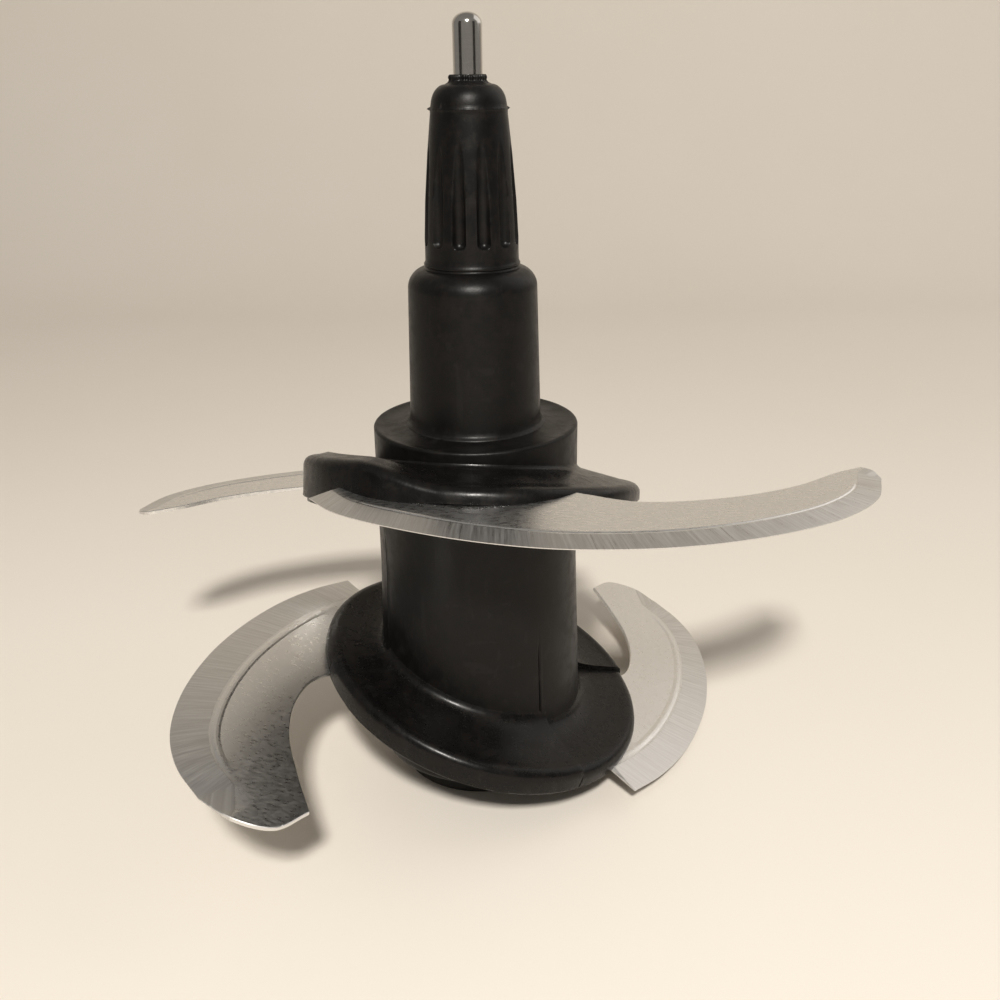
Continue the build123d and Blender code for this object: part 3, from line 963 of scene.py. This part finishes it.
# --- hub ----------------------------------------------------------------------------------------------------
@dataclass(frozen=True)
class Hub:
    """Collar and tapered barrel with two parting lines down its front and two behind."""

    collar_radius: float = 19.15
    foot_radius: float = 20.3
    taper_start: float = 45.0
    wall: float = 2.4
    lip: float = 0.55
    spigot_radius: float = 10.4
    partings: tuple[tuple[float, float, float], ...] = (
        (204.0, 24.0, 52.0), (304.0, 10.0, 34.0), (24.0, 10.0, 52.0), (124.0, 10.0, 34.0))
    waviness: float = 0.03
    seam_ridge: float = 0.07
    seam_depth: float = 0.30
    spigot_depth: float = 4.0
    plate_bore: float = 7.4
    foot_bore: float = 12.5
    post_bore: float = 4.05
    segments: int = 360

    def radius(self, height: float) -> float:
        """Outside radius of the barrel at a height.

        Args:
            height: height above the foot plane.

        Returns:
            The radius, which is the same all the way up from the taper's start.
        """
        low = bottom("hub_barrel")
        share = min(max((self.taper_start - height) / (self.taper_start - low), 0.0), 1.0)
        return self.collar_radius + (self.foot_radius - self.collar_radius) * share

    def shape(self, radius: float, height: float, angle: float) -> float:
        """Adds the parting lines and the slow waviness of a thick moulding to the turned radius.

        Args:
            radius: the turned radius.
            height: height above the foot plane.
            angle: azimuth in radians.

        Returns:
            The radius to use there; inside the shell it stays as turned.
        """
        if radius < self.collar_radius - 0.8:
            return radius
        wave = self.waviness * ragged(angle + height * 0.02, 3.0)
        for heading, low, high in self.partings:
            away = math.remainder(angle - math.radians(heading), math.tau) * radius
            shown = smoothstep(low - 1, low + 1, height)
            shown *= smoothstep(low - high, low - high + 3, low - height)
            wave += shown * (self.seam_ridge * math.exp(-((away - 0.4) / 0.2) ** 2)
                             - self.seam_depth * math.exp(-(away / 0.14) ** 2))
        return radius + wave

    def azimuths(self) -> list[float]:
        """Even azimuths, with more of them beside each parting line.

        Returns:
            The azimuths in radians, in rising order.
        """
        steps = (-1.2, -0.75, -0.4, -0.2, 0.2, 0.4, 0.75, 1.3)
        extra = [math.radians(heading + step) for heading, _, _ in self.partings for step in steps]
        return sorted({round(a % math.tau, 5) for a in even_angles(self.segments) + extra})

    def profile(self) -> list[Point]:
        """Closed outline: outside from the foot up, over the collar's deck and down the inside.

        Returns:
            (radius, height) points.
        """
        low, deck = bottom("hub_barrel"), top("hub_barrel")
        rim = self.collar_radius - self.lip
        wall = subdivide([(self.foot_radius - 0.5, low), (self.foot_radius - 0.1, low + 0.35),
                          (self.foot_radius, low + 0.9), (self.collar_radius, self.taper_start),
                          (self.collar_radius, deck - self.lip - 0.1)], 2.0)
        edge = arc((rim, deck - self.lip), self.lip, 8, 90, 7)
        top_face = [(rim - 0.5, deck - 0.12), (rim - 1.4, deck - 0.3), (16.0, deck - 0.34),
                    (14.2, deck - 0.25), (13.2, deck - 0.02), (self.spigot_radius, deck)]
        ledge = deck - self.spigot_depth
        inner = [(self.spigot_radius, ledge), (self.collar_radius - self.wall, ledge),
                 (self.collar_radius - self.wall, self.taper_start), (self.foot_radius - self.wall, low)]
        return wall + edge + top_face + inner

    def build(self, finishes: Finishes) -> None:
        """Makes the barrel, the plate that closes it, the foot and the bush.

        Args:
            finishes: every finish on the rotor.
        """
        points, faces = lathe(self.profile(), self.azimuths(), self.shape)
        make_piece("hub_barrel_moulded", points, faces, finishes.hub, ("hub_barrel",), 40)
        self.build_plate(finishes)
        self.build_foot(finishes)
        self.build_bush(finishes)

    def build_plate(self, finishes: Finishes) -> None:
        """Closes the barrel's foot with a plate that has one shallow groove round its lower face.

        Args:
            finishes: every finish on the rotor.
        """
        outer, z0, z1 = round_size("bottom_plate")
        profile = [(self.plate_bore, z0 + 0.2), (self.plate_bore + 0.3, z0), (9.6, z0), (9.9, z0 + 0.5),
                   (11.3, z0 + 0.5), (11.6, z0), (outer - 0.5, z0), (outer, z0 + 0.4), (outer, z1),
                   (self.plate_bore, z1)]
        points, faces = lathe(profile, even_angles(120))
        make_piece("bottom_plate_moulded", points, faces, finishes.hub, ("bottom_plate",))

    def build_foot(self, finishes: Finishes) -> None:
        """Makes the rounded foot ring, with a shallow groove under it and another round its side.

        Args:
            finishes: every finish on the rotor.
        """
        outer, z0, z1 = round_size("foot_ring")
        inner = self.foot_bore
        middle = (outer + inner) / 2
        profile = [(inner, z1), (inner, z0 + 0.8), (inner + 0.3, z0 + 0.2), (inner + 0.9, z0),
                   (middle - 0.3, z0), (middle, z0 + 0.25), (middle + 0.3, z0), (outer - 0.9, z0),
                   (outer - 0.3, z0 + 0.2), (outer, z0 + 0.8), (outer, z0 + 2.2), (outer - 0.3, z0 + 2.5),
                   (outer, z0 + 2.8), (outer, z1)]
        points, faces = lathe(profile, even_angles(120))
        make_piece("foot_ring_moulded", points, faces, finishes.foot, ("foot_ring",))

    def build_bush(self, finishes: Finishes) -> None:
        """Turns the bush with a lead-in chamfer at its mouth.

        Args:
            finishes: every finish on the rotor.
        """
        outer, z0, z1 = round_size("post_bush")
        bore = self.post_bore
        profile = [(bore + 0.6, z0), (outer - 0.3, z0), (outer, z0 + 0.3), (outer, z1), (bore, z1),
                   (bore, z0 + 0.6)]
        points, faces = lathe(profile, even_angles(96))
        make_piece("post_bush_turned", points, faces, finishes.bush, ("post_bush",))


# --- skew flanges -------------------------------------------------------------------------------------------
@dataclass(frozen=True)
class SectionPoint:
    """One corner of a skew flange's section."""

    anchor: Anchor
    radius: float
    height: float


def on_barrel(offset: float, height: float) -> SectionPoint:
    """Section point measured outward from the barrel."""
    return SectionPoint(Anchor.BARREL, offset, height)


def on_axis(radius: float, height: float) -> SectionPoint:
    """Section point measured from the flange's axis."""
    return SectionPoint(Anchor.AXIS, radius, height)


@dataclass(frozen=True)
class SkewRing:
    """A flange or a sector of one that leans across the barrel."""

    plane: Matrix
    hub: Hub
    section: list[SectionPoint]
    start: float = 0.0
    span: float = 360.0
    spacing: float = 1.25
    swell_heading: float = 211.0
    swell_width: float = 48.0
    swell_drop: float = 0.0
    swell_lift: float = 0.0
    swell_reach: float = 0.0
    lifted_above: float = -1.6
    dropped_above: float = -3.3

    def swell(self, angle: float) -> float:
        """How much of the swelling over a wing root there is at an azimuth, from 0 to 1."""
        away = abs(math.degrees(math.remainder(angle - math.radians(self.swell_heading), math.tau)))
        return 1 - smoothstep(self.swell_width * 0.35, self.swell_width, away)

    def barrel_reach(self, angle: float, height: float) -> float:
        """Distance from the flange's axis to the barrel's surface, in the flange's own plane.

        Args:
            angle: azimuth in the flange's plane, in radians.
            height: height above the flange's plane.

        Returns:
            The distance, found by halving.
        """
        low, high = 10.0, 30.0
        for _ in range(26):
            middle = (low + high) / 2
            place = self.plane @ Vector((middle * math.cos(angle), middle * math.sin(angle), height))
            if math.hypot(place.x, place.y) < self.hub.radius(place.z):
                low = middle
            else:
                high = middle
        return (low + high) / 2

    def place(self, corner: SectionPoint, angle: float) -> Vector:
        """Puts one section point at an azimuth of the flange.

        Args:
            corner: the section point.
            angle: azimuth in the flange's plane, in radians.

        Returns:
            Its place on the rotor, in millimetres.
        """
        radius, height = corner.radius, corner.height
        grown = self.swell(angle)
        if corner.anchor is Anchor.AXIS and height > self.section[0].height + 1:
            radius += self.swell_reach * grown
        if height > self.lifted_above:
            share = 1.0 if corner.anchor is Anchor.AXIS else max(0.0, corner.radius / 8)
            height += self.swell_lift * grown * share
        elif corner.anchor is Anchor.AXIS and height > self.dropped_above:
            height -= self.swell_drop * grown
        if corner.anchor is Anchor.BARREL:
            radius += self.barrel_reach(angle, corner.height)
        elif corner.radius > self.hub.foot_radius + 4:
            radius += 0.05 * ragged(angle, 5.0 + corner.height)
        return self.plane @ Vector((radius * math.cos(angle), radius * math.sin(angle), height))

    def mesh(self) -> tuple[list, list]:
        """Sweeps the section round the flange.

        Returns:
            Vertices and faces of a closed solid.
        """
        whole = self.span > 359.9
        steps = round(self.span / self.spacing)
        count = steps if whole else steps + 1
        angles = [math.radians(self.start + self.span * i / steps) for i in range(count)]
        points = [self.place(corner, angle) for corner in self.section for angle in angles]
        faces = loop_faces(len(self.section), count, True, whole)
        if not whole:
            faces.append(tuple(r * count for r in range(len(self.section))))
            faces.append(tuple(r * count + count - 1 for r in reversed(range(len(self.section)))))
        return points, faces


@dataclass(frozen=True)
class UpperFlange:
    """Cone-topped disc moulded round the roots of the upper wings."""

    hub: Hub
    tilt: float = 17.5
    heading: float = 259.0
    height: float = 60.9
    radius: float = 31.2
    cone_rise: float = 3.0
    thickness: float = 6.1
    lip: float = 3.0
    undercut: float = 0.8

    def build(self, finishes: Finishes) -> None:
        """Makes the flange with a filleted foot on the collar and a rolled rim.

        Args:
            finishes: every finish on the rotor.
        """
        lean = math.tan(math.radians(self.tilt))
        turn = math.radians(self.heading)
        plane = skew_plane(self.height, lean * math.cos(turn), lean * math.sin(turn))
        r, rise = self.radius, self.cone_rise
        section = [
            on_barrel(SUNK, -self.thickness), on_axis(r - self.undercut - 1.4, -self.thickness),
            on_axis(r - self.undercut - 0.4, -self.thickness + 0.35),
            on_axis(r - self.undercut, -self.thickness + 1.1), on_axis(r - self.undercut, -self.lip - 0.15),
            on_axis(r - self.undercut + 0.3, -self.lip), on_axis(r - 0.25, -self.lip),
            on_axis(r - 0.02, -self.lip + 0.2), on_axis(r, -self.lip + 0.6), on_axis(r, -1.5),
            on_axis(r - 0.1, -1.0), on_axis(r - 0.4, -0.42), on_axis(r - 0.9, 0.0), on_axis(r - 1.5, 0.22),
            on_axis(r - 2.2, 0.36), on_axis(r - 3.0, 0.46), on_axis(r - 4.4, 0.85),
            on_barrel(5.0, rise * 0.50), on_barrel(3.0, rise * 0.66), on_barrel(1.6, rise * 0.78),
            on_barrel(0.9, rise * 0.84), on_barrel(0.4, rise * 0.94), on_barrel(0.12, rise * 1.04),
            on_barrel(-0.02, rise * 1.14), on_barrel(SUNK, rise * 1.16),
        ]
        points, faces = SkewRing(plane, self.hub, section, spacing=1.0, swell_lift=3.3, swell_reach=1.8,
                                swell_drop=1.2).mesh()
        make_piece("upper_flange_moulded", points, faces, finishes.flange, ("upper_flange",), 40)


@dataclass(frozen=True)
class LowerFlange:
    """Two thick clamps and two thin lobes over a common base, all in the plane of the lower wings."""

    hub: Hub
    radius: float = 33.0
    base_radius: float = 32.3
    cover: float = 3.4
    base: float = 1.5
    sheet: float = 0.8
    clamp_step: float = 0.8
    base_gap: float = 0.06
    clamp_start: float = 200.0
    clamp_span: float = 107.0
    seam: float = 0.6

    def rim(self, high: float) -> list[SectionPoint]:
        """Rounded outer edge from the wing's plane up to a height.

        Args:
            high: height of the segment's top above the wing's plane.

        Returns:
            Section points from the bottom up.
        """
        r, low = self.radius, -self.sheet / 2
        return [on_axis(r - 0.3, low), on_axis(r - 0.02, low + 0.2), on_axis(r, low + 0.6),
                on_axis(r, high - 1.9), on_axis(r - 0.12, high - 1.2), on_axis(r - 0.45, high - 0.6),
                on_axis(r - 1.0, high - 0.18), on_axis(r - 1.7, high)]

    def clamp(self, start: float) -> SkewRing:
        """Thick segment whose rim bead and hollowed top lead up to a fillet on the barrel.

        Args:
            start: azimuth of its first end, in degrees.

        Returns:
            The segment.
        """
        low, high, r = -self.sheet / 2, self.cover + self.clamp_step, self.radius
        section = [on_barrel(SUNK, low), *self.rim(high), on_axis(r - 2.5, high - 0.12),
                   on_axis(r - 3.6, high - 0.1), on_barrel(5.2, high + 0.1), on_barrel(3.0, high + 0.45),
                   on_barrel(1.6, high + 0.85), on_barrel(0.7, high + 1.35), on_barrel(0.2, high + 1.9),
                   on_barrel(-0.02, high + 2.6), on_barrel(SUNK, high + 2.7)]
        return SkewRing(sheet_plane("lower_blade_left"), self.hub, section,
                        start + self.seam, self.clamp_span - 2 * self.seam)

    def lobe(self, start: float) -> SkewRing:
        """Thin cover over one wing root.

        Args:
            start: azimuth of its first end, in degrees.

        Returns:
            The cover.
        """
        low, high, r = -self.sheet / 2, self.cover, self.radius
        section = [on_barrel(SUNK, low), *self.rim(high), on_axis(r - 3.0, high - 0.15),
                   on_barrel(4.0, high - 0.1), on_barrel(1.6, high + 0.1), on_barrel(0.7, high + 0.45),
                   on_barrel(0.2, high + 0.95), on_barrel(-0.02, high + 1.5), on_barrel(SUNK, high + 1.6)]
        return SkewRing(sheet_plane("lower_blade_left"), self.hub, section, start,
                        180 - self.clamp_span)

    def build(self, finishes: Finishes) -> None:
        """Makes both clamps, both lobes and the base under them.

        Args:
            finishes: every finish on the rotor.
        """
        rear = self.clamp_start - 180
        for name, ring in (
                ("lower_clamp_front", self.clamp(self.clamp_start)), ("lower_clamp_rear", self.clamp(rear)),
                ("lower_lobe_left", self.lobe(rear + self.clamp_span)),
                ("lower_lobe_right", self.lobe(self.clamp_start + self.clamp_span))):
            points, faces = ring.mesh()
            make_piece(f"{name}_moulded", points, faces, finishes.flange, (name,), 40)
        low, high, r = -self.sheet / 2 - self.base, -self.sheet / 2 - self.base_gap, self.base_radius
        section = [on_barrel(SUNK, low), on_axis(r - 1.6, low), on_axis(r - 0.7, low + 0.15),
                   on_axis(r - 0.15, low + 0.55), on_axis(r, low + 1.0), on_axis(r - 0.1, high),
                   on_barrel(SUNK, high)]
        points, faces = SkewRing(sheet_plane("lower_blade_left"), self.hub, section).mesh()
        make_piece("lower_flange_base_moulded", points, faces, finishes.flange,
                   ("lower_flange_base",), 40)


# --- wings --------------------------------------------------------------------------------------------------
@dataclass(frozen=True)
class WingPattern:
    """Outline and edge grind of one kind of wing, for the near upper wing or the left lower one."""

    lead: list[Point]
    tip: list[Point]
    trail: list[Point]
    root: list[Point]
    kind: WingKind
    bevel: float
    rib_start: float
    rib_end: float
    nicks: tuple[tuple[float, float], ...] = ()
    thickness: float = 0.8
    edge_thickness: float = 0.16
    rib_height: float = 0.13
    grid: float = 1.6


UPPER_PATTERN = WingPattern(
    lead=[(-28.4, -25.1), (-23.5, -31.0), (-8.0, -39.3), (8.4, -44.2), (21.0, -45.2), (35.0, -44.0),
          (50.2, -39.6), (61.0, -33.9), (68.0, -27.0), (71.2, -19.0)],
    tip=[(70.6, -16.2)],
    trail=[(68.6, -15.0), (63.6, -17.4), (54.8, -23.1), (42.3, -27.6), (27.0, -29.0), (17.0, -25.2)],
    root=[(12.0, -19.6), (-2.0, -21.5), (-12.0, -19.0), (-20.0, -19.0)],
    kind=WingKind.UPPER, bevel=4.0, rib_start=4.3, rib_end=5.3,
)

LOWER_PATTERN = WingPattern(
    lead=[(-31.5, 23.0), (-37.6, 16.5), (-43.6, 8.0), (-49.2, -3.2), (-53.3, -15.5), (-55.2, -29.0),
          (-54.3, -39.5), (-51.2, -46.8), (-46.2, -52.4)],
    tip=[(-40.2, -55.4), (-33.4, -55.2)],
    trail=[(-28.6, -50.0), (-31.8, -42.5), (-35.0, -33.0), (-35.6, -24.0), (-33.6, -16.0), (-29.6, -11.4)],
    root=[(-22.0, -8.0), (-22.6, 2.0), (-20.0, 12.0)],
    kind=WingKind.LOWER, bevel=6.2, rib_start=6.7, rib_end=8.3, nicks=((88.0, 0.9),),
)


@dataclass(frozen=True)
class Wing:
    """One sheet-steel wing with a ground bevel, an embossed rib and broken edges.

    The far-side wing of a pair is the pattern turned half round the axis.
    """

    node: str
    pattern: WingPattern
    far_side: bool

    def turned(self, points: list[Point]) -> list[Point]:
        """The pattern's points, on this wing's side of the rotor."""
        sign = -1 if self.far_side else 1
        return [(sign * x, sign * y) for x, y in points]

    def outline(self) -> tuple[np.ndarray, np.ndarray]:
        """Draws the wing's edge.

        Returns:
            The ground leading edge, and the whole closed outline that starts with it.
        """
        p = self.pattern
        lead = smooth_curve(self.turned(p.lead), 0.8)
        for place, depth in p.nicks:
            lead = self.nick(lead, place, depth)
        tip = smooth_curve(self.turned([p.lead[-1], *p.tip, p.trail[0]]), 0.6)
        trail = smooth_curve(self.turned(p.trail), 0.8)
        root = np.array(self.turned(p.root), float)
        return lead, np.vstack([lead, tip[1:], trail[1:], root])

    def nick(self, lead: np.ndarray, place: float, depth: float) -> np.ndarray:
        """Pushes the leading edge in a little where it has met something hard.

        Args:
            lead: points along the leading edge.
            place: how far along the edge the nick is.
            depth: how deep it goes.

        Returns:
            The dented edge.
        """
        runs = np.linalg.norm(np.diff(lead, axis=0), axis=1)
        along = np.concatenate([[0], np.cumsum(runs)])
        dent = depth * np.exp(-((along - place) / NICK_WIDTH) ** 2)
        return lead + inward_normals(lead) * dent[:, None]

    def inner_points(self, lead: np.ndarray, outline: np.ndarray) -> np.ndarray:
        """Points inside the outline: rows that follow the grind and rib, an edge row and a loose grid.

        Args:
            lead: points along the leading edge.
            outline: the whole outline, which starts with them.

        Returns:
            The points, none on top of another.
        """
        inward = inward_normals(lead)
        p = self.pattern
        rib = np.linspace(p.rib_start, p.rib_end, 5)
        rows = [0.25, p.bevel * 0.5, p.bevel - 0.12, p.bevel, p.bevel + 0.12, *rib]
        sets = [lead + inward * row for row in rows]
        side = np.gradient(closed(outline), axis=0)[:-1]
        normal = np.column_stack([-side[:, 1], side[:, 0]])
        normal /= np.linalg.norm(normal, axis=1)[:, None] + 1e-9
        sets.append((outline + normal * 0.14)[len(lead):])
        low, high = outline.min(0), outline.max(0)
        columns = np.arange(low[0], high[0], p.grid)
        lines = np.arange(low[1], high[1], p.grid)
        grid = np.array([(x + 0.3 * p.grid * (i % 2), y) for i, y in enumerate(lines) for x in columns])
        away = distances(grid, lead)[0]
        sets.append(grid[away > p.rib_end + 0.6])
        cloud = np.vstack(sets)
        cloud = cloud[inside(cloud, outline)]
        cloud = cloud[distances(cloud, closed(outline))[0] > 0.1]
        order = np.unique(np.round(cloud / 0.08), axis=0, return_index=True)[1]
        return cloud[np.sort(order)]

    def top_height(self, away: float, along: float, edge: float, length: float) -> float:
        """Height of the upper face: bevel, rib and broken edge.

        Args:
            away: distance from the leading edge.
            along: how far along the leading edge.
            edge: distance from the nearest edge of any kind.
            length: length of the leading edge.

        Returns:
            Height above the sheet's middle plane.
        """
        p = self.pattern
        half = p.thickness / 2
        drop = (p.thickness - p.edge_thickness) * max(0.0, 1 - away / p.bevel)
        fade = smoothstep(2, 18, along) * smoothstep(1, 8, length - along)
        middle, width = (p.rib_start + p.rib_end) / 2, (p.rib_end - p.rib_start) / 2
        swell = max(0.0, 1 - ((away - middle) / width) ** 2)
        return half - drop + p.rib_height * swell * fade - broken_edge(away, edge)

    def build(self, finishes: Finishes) -> None:
        """Triangulates the outline, shapes both faces and lays the edge map for the grinding marks.

        Args:
            finishes: every finish on the rotor.
        """
        lead, outline = self.outline()
        cloud = np.vstack([outline, self.inner_points(lead, outline)])
        count = len(outline)
        rim = list(range(count))
        flat, _, triangles, _, _, _ = delaunay_2d_cdt([Vector(q) for q in cloud], [], [rim], 1, 1e-5)
        flat = np.array([tuple(q) for q in flat])
        away, along = distances(flat, lead)
        edge = distances(flat, closed(outline))[0]
        length = float(np.linalg.norm(np.diff(lead, axis=0), axis=1).sum())
        plane = sheet_plane(self.node)
        half = self.pattern.thickness / 2
        points = []
        for (x, y), d, s, e in zip(flat, away, along, edge):
            points.append(plane @ Vector((x, y, self.top_height(d, s, e, length))))
        for (x, y), d, e in zip(flat, away, edge):
            points.append(plane @ Vector((x, y, broken_edge(d, e) - half)))
        total = len(flat)
        faces = [tuple(t) for t in triangles]
        faces += [tuple(v + total for v in reversed(t)) for t in triangles]
        faces += self.side_faces(triangles, total)
        piece = make_piece(f"{self.node}_ground", points, faces, finishes.wings[self.pattern.kind],
                           (self.node,), 9)
        self.lay_map(piece, away, along)

    def side_faces(self, triangles: list, total: int) -> list[tuple[int, ...]]:
        """Quads that join the upper face's border to the lower face's.

        Args:
            triangles: the upper face's triangles.
            total: how many vertices the upper face has.

        Returns:
            The faces.
        """
        seen = {pair: True for tri in triangles for pair in zip(tri, (*tri[1:], tri[0]))}
        return [(b, a, a + total, b + total) for a, b in seen if (b, a) not in seen]

    def lay_map(self, piece: bpy.types.Object, away: np.ndarray, along: np.ndarray) -> None:
        """Writes how far along and how far in from the leading edge each corner lies, in decimetres.

        Args:
            piece: the wing.
            away: distance from the leading edge of each vertex of the upper face, in millimetres.
            along: how far along the edge each one lies, in millimetres.
        """
        mesh = piece.data
        layer = mesh.uv_layers.new(name=WING_MAP)
        total = len(away)
        for loop in mesh.loops:
            v = loop.vertex_index % total
            layer.data[loop.index].uv = (along[v] * MAP_UNIT, away[v] * MAP_UNIT)


# --- hidden pieces ------------------------------------------------------------------------------------------
def dress_hidden_nodes(finishes: Finishes) -> None:
    """Gives the solid nodes that stay as they are their metal finish.

    Args:
        finishes: every finish on the rotor.
    """
    for name in ("core_tube", "thrust_disc", "upper_locking_pins", "lower_locking_pins"):
        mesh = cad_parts[name].data
        mesh.materials.clear()
        mesh.materials.append(finishes.steel)
        LOG.info("%s keeps its solid, finished in %s", name, finishes.steel.name)


# --- studio -------------------------------------------------------------------------------------------------
@dataclass(frozen=True)
class Studio:
    """Pale sweep, soft lights and the camera."""

    camera_place: tuple[float, float, float] = (0.0, -198.5, 134.6)
    pitch: float = 21.58
    yaw: float = 1.26
    roll: float = 0.815
    lens: float = 39.6
    key_place: tuple[float, float, float] = (0.0, -590.0, 590.0)
    key_size: float = 0.08
    key_power: float = 7.2
    key_colour: Colour = (1.0, 0.96, 0.90)
    fill_place: tuple[float, float, float] = (620.0, 260.0, 520.0)
    fill_size: float = 0.7
    fill_power: float = 1.2
    fill_colour: Colour = (1.0, 0.96, 0.92)
    aim_height: float = 60.0
    glow: float = 0.24
    sensor: float = 36.0
    flag_places: tuple[tuple[float, float, float], ...] = ((-520.0, -330.0, 200.0), (560.0, -420.0, 200.0))
    flag_half_width: float = 130.0
    flag_half_height: float = 260.0
    sweep_depth: float = 700.0
    sweep_half_width: float = 1400.0
    sweep_height: float = 900.0
    sweep_bend: float = 260.0

    def build(self) -> None:
        """Makes the camera, the lights, the surrounding glow and the sweep."""
        self.build_camera()
        self.build_light("key_light", self.key_place, self.key_size, self.key_power, self.key_colour)
        self.build_light("fill_light", self.fill_place, self.fill_size, self.fill_power, self.fill_colour)
        self.build_glow()
        self.build_sweep()
        for number, place in enumerate(self.flag_places, 1):
            self.build_flag(f"dark_flag_{number}", place)

    def build_camera(self) -> None:
        """Sets the camera at its place with its pitch, yaw and roll."""
        p, w, r = (math.radians(a) for a in (self.pitch, self.yaw, self.roll))
        ahead = Vector((math.sin(w) * math.cos(p), math.cos(w) * math.cos(p), -math.sin(p)))
        right = Vector((math.cos(w), -math.sin(w), 0.0))
        down = ahead.cross(right)
        right, down = math.cos(r) * right + math.sin(r) * down, math.cos(r) * down - math.sin(r) * right
        data = bpy.data.cameras.new("camera")
        data.lens = self.lens
        data.sensor_width = self.sensor
        data.clip_start = 0.01
        camera = bpy.data.objects.new("camera", data)
        turn = Matrix((right, -down, -ahead)).transposed().to_4x4()
        camera.matrix_world = Matrix.Translation(Vector(self.camera_place) * MM) @ turn
        bpy.context.scene.collection.objects.link(camera)
        bpy.context.scene.camera = camera

    def build_light(self, name: str, place: tuple[float, float, float], size: float, power: float,
                    colour: Colour) -> None:
        """Adds a square soft light that faces the rotor.

        Args:
            name: the light's name.
            place: where it hangs, in millimetres.
            size: its side, in metres.
            power: its power, in watts.
            colour: its colour.
        """
        data = bpy.data.lights.new(name, "AREA")
        data.size = size
        data.energy = power
        data.color = colour
        light = bpy.data.objects.new(name, data)
        light.location = Vector(place) * MM
        target = Vector((0, 0, self.aim_height * MM))
        light.rotation_euler = (target - light.location).to_track_quat("-Z", "Y").to_euler()
        bpy.context.scene.collection.objects.link(light)

    def build_flag(self, name: str, place: tuple[float, float, float]) -> None:
        """Stands a dark card beside the camera, which gives the black and the steel something to mirror.

        Args:
            name: the card's name.
            place: its centre, in millimetres.
        """
        centre = Vector(place)
        side = Vector((-centre.y, centre.x, 0)).normalized() * self.flag_half_width
        rise = Vector((0, 0, self.flag_half_height))
        corners = [(centre + a * side + b * rise) * MM for a, b in ((-1, -1), (1, -1), (1, 1), (-1, 1))]
        mesh = bpy.data.meshes.new(name)
        mesh.from_pydata(corners, [], [(0, 1, 2, 3)])
        material, _, shader = start_material(f"{name}_cloth")
        shader.inputs["Base Color"].default_value = (0.02, 0.02, 0.02, 1)
        shader.inputs["Roughness"].default_value = 0.95
        mesh.materials.append(material)
        card = bpy.data.objects.new(name, mesh)
        bpy.context.scene.collection.objects.link(card)

    def build_glow(self) -> None:
        """Sets a dim warm glow all round, and the plain view transform."""
        world = bpy.data.worlds.new("soft_room")
        world.use_nodes = True
        background = world.node_tree.nodes["Background"]
        background.inputs["Color"].default_value = (1.0, 0.95, 0.88, 1)
        background.inputs["Strength"].default_value = self.glow
        bpy.context.scene.world = world
        bpy.context.scene.view_settings.view_transform = "Standard"

    def build_sweep(self) -> None:
        """Makes the pale floor that curves up into a backdrop."""
        bend = self.sweep_bend
        line = [(-900.0, 0.0), (0.0, 0.0), (self.sweep_depth - bend, 0.0)]
        line += [(self.sweep_depth - bend + bend * math.sin(a), bend - bend * math.cos(a))
                 for a in (math.radians(i * 7.5) for i in range(1, 13))]
        line.append((self.sweep_depth, self.sweep_height))
        columns = [-self.sweep_half_width + self.sweep_half_width * i / 4 for i in range(9)]
        points = [Vector((x, y, z)) * MM for y, z in line for x in columns]
        mesh = bpy.data.meshes.new("pale_sweep")
        mesh.from_pydata(points, [], loop_faces(len(line), len(columns), False, False))
        mesh.shade_smooth()
        material, tree, shader = start_material("pale_paper")
        place = add_node(tree, "ShaderNodeTexCoord").outputs["Object"]
        mottle = add_noise(tree, place, 6.0, 3.0)
        colour = mix_colour(tree, mottle, (0.80, 0.74, 0.66, 1), (0.84, 0.79, 0.72, 1))
        tree.links.new(colour, shader.inputs["Base Color"])
        shader.inputs["Roughness"].default_value = 0.9
        shader.inputs["Specular IOR Level"].default_value = 0.2
        mesh.materials.append(material)
        sweep = bpy.data.objects.new("pale_sweep", mesh)
        bpy.context.scene.collection.objects.link(sweep)


def main() -> None:
    """Builds the finishes, the rotor's pieces from the pin down and the studio."""
    logging.basicConfig(level=logging.INFO, format="%(name)s: %(message)s")
    finishes = make_finishes()
    hub = Hub()
    CentringPin().build(finishes)
    DriveSpindle().build(finishes)
    hub.build(finishes)
    UpperFlange(hub).build(finishes)
    LowerFlange(hub).build(finishes)
    for wing in (Wing("upper_blade_front", UPPER_PATTERN, False),
                 Wing("upper_blade_rear", UPPER_PATTERN, True),
                 Wing("lower_blade_left", LOWER_PATTERN, False),
                 Wing("lower_blade_right", LOWER_PATTERN, True)):
        wing.build(finishes)
    dress_hidden_nodes(finishes)
    Studio().build()


if __name__ == "__main__":
    main()
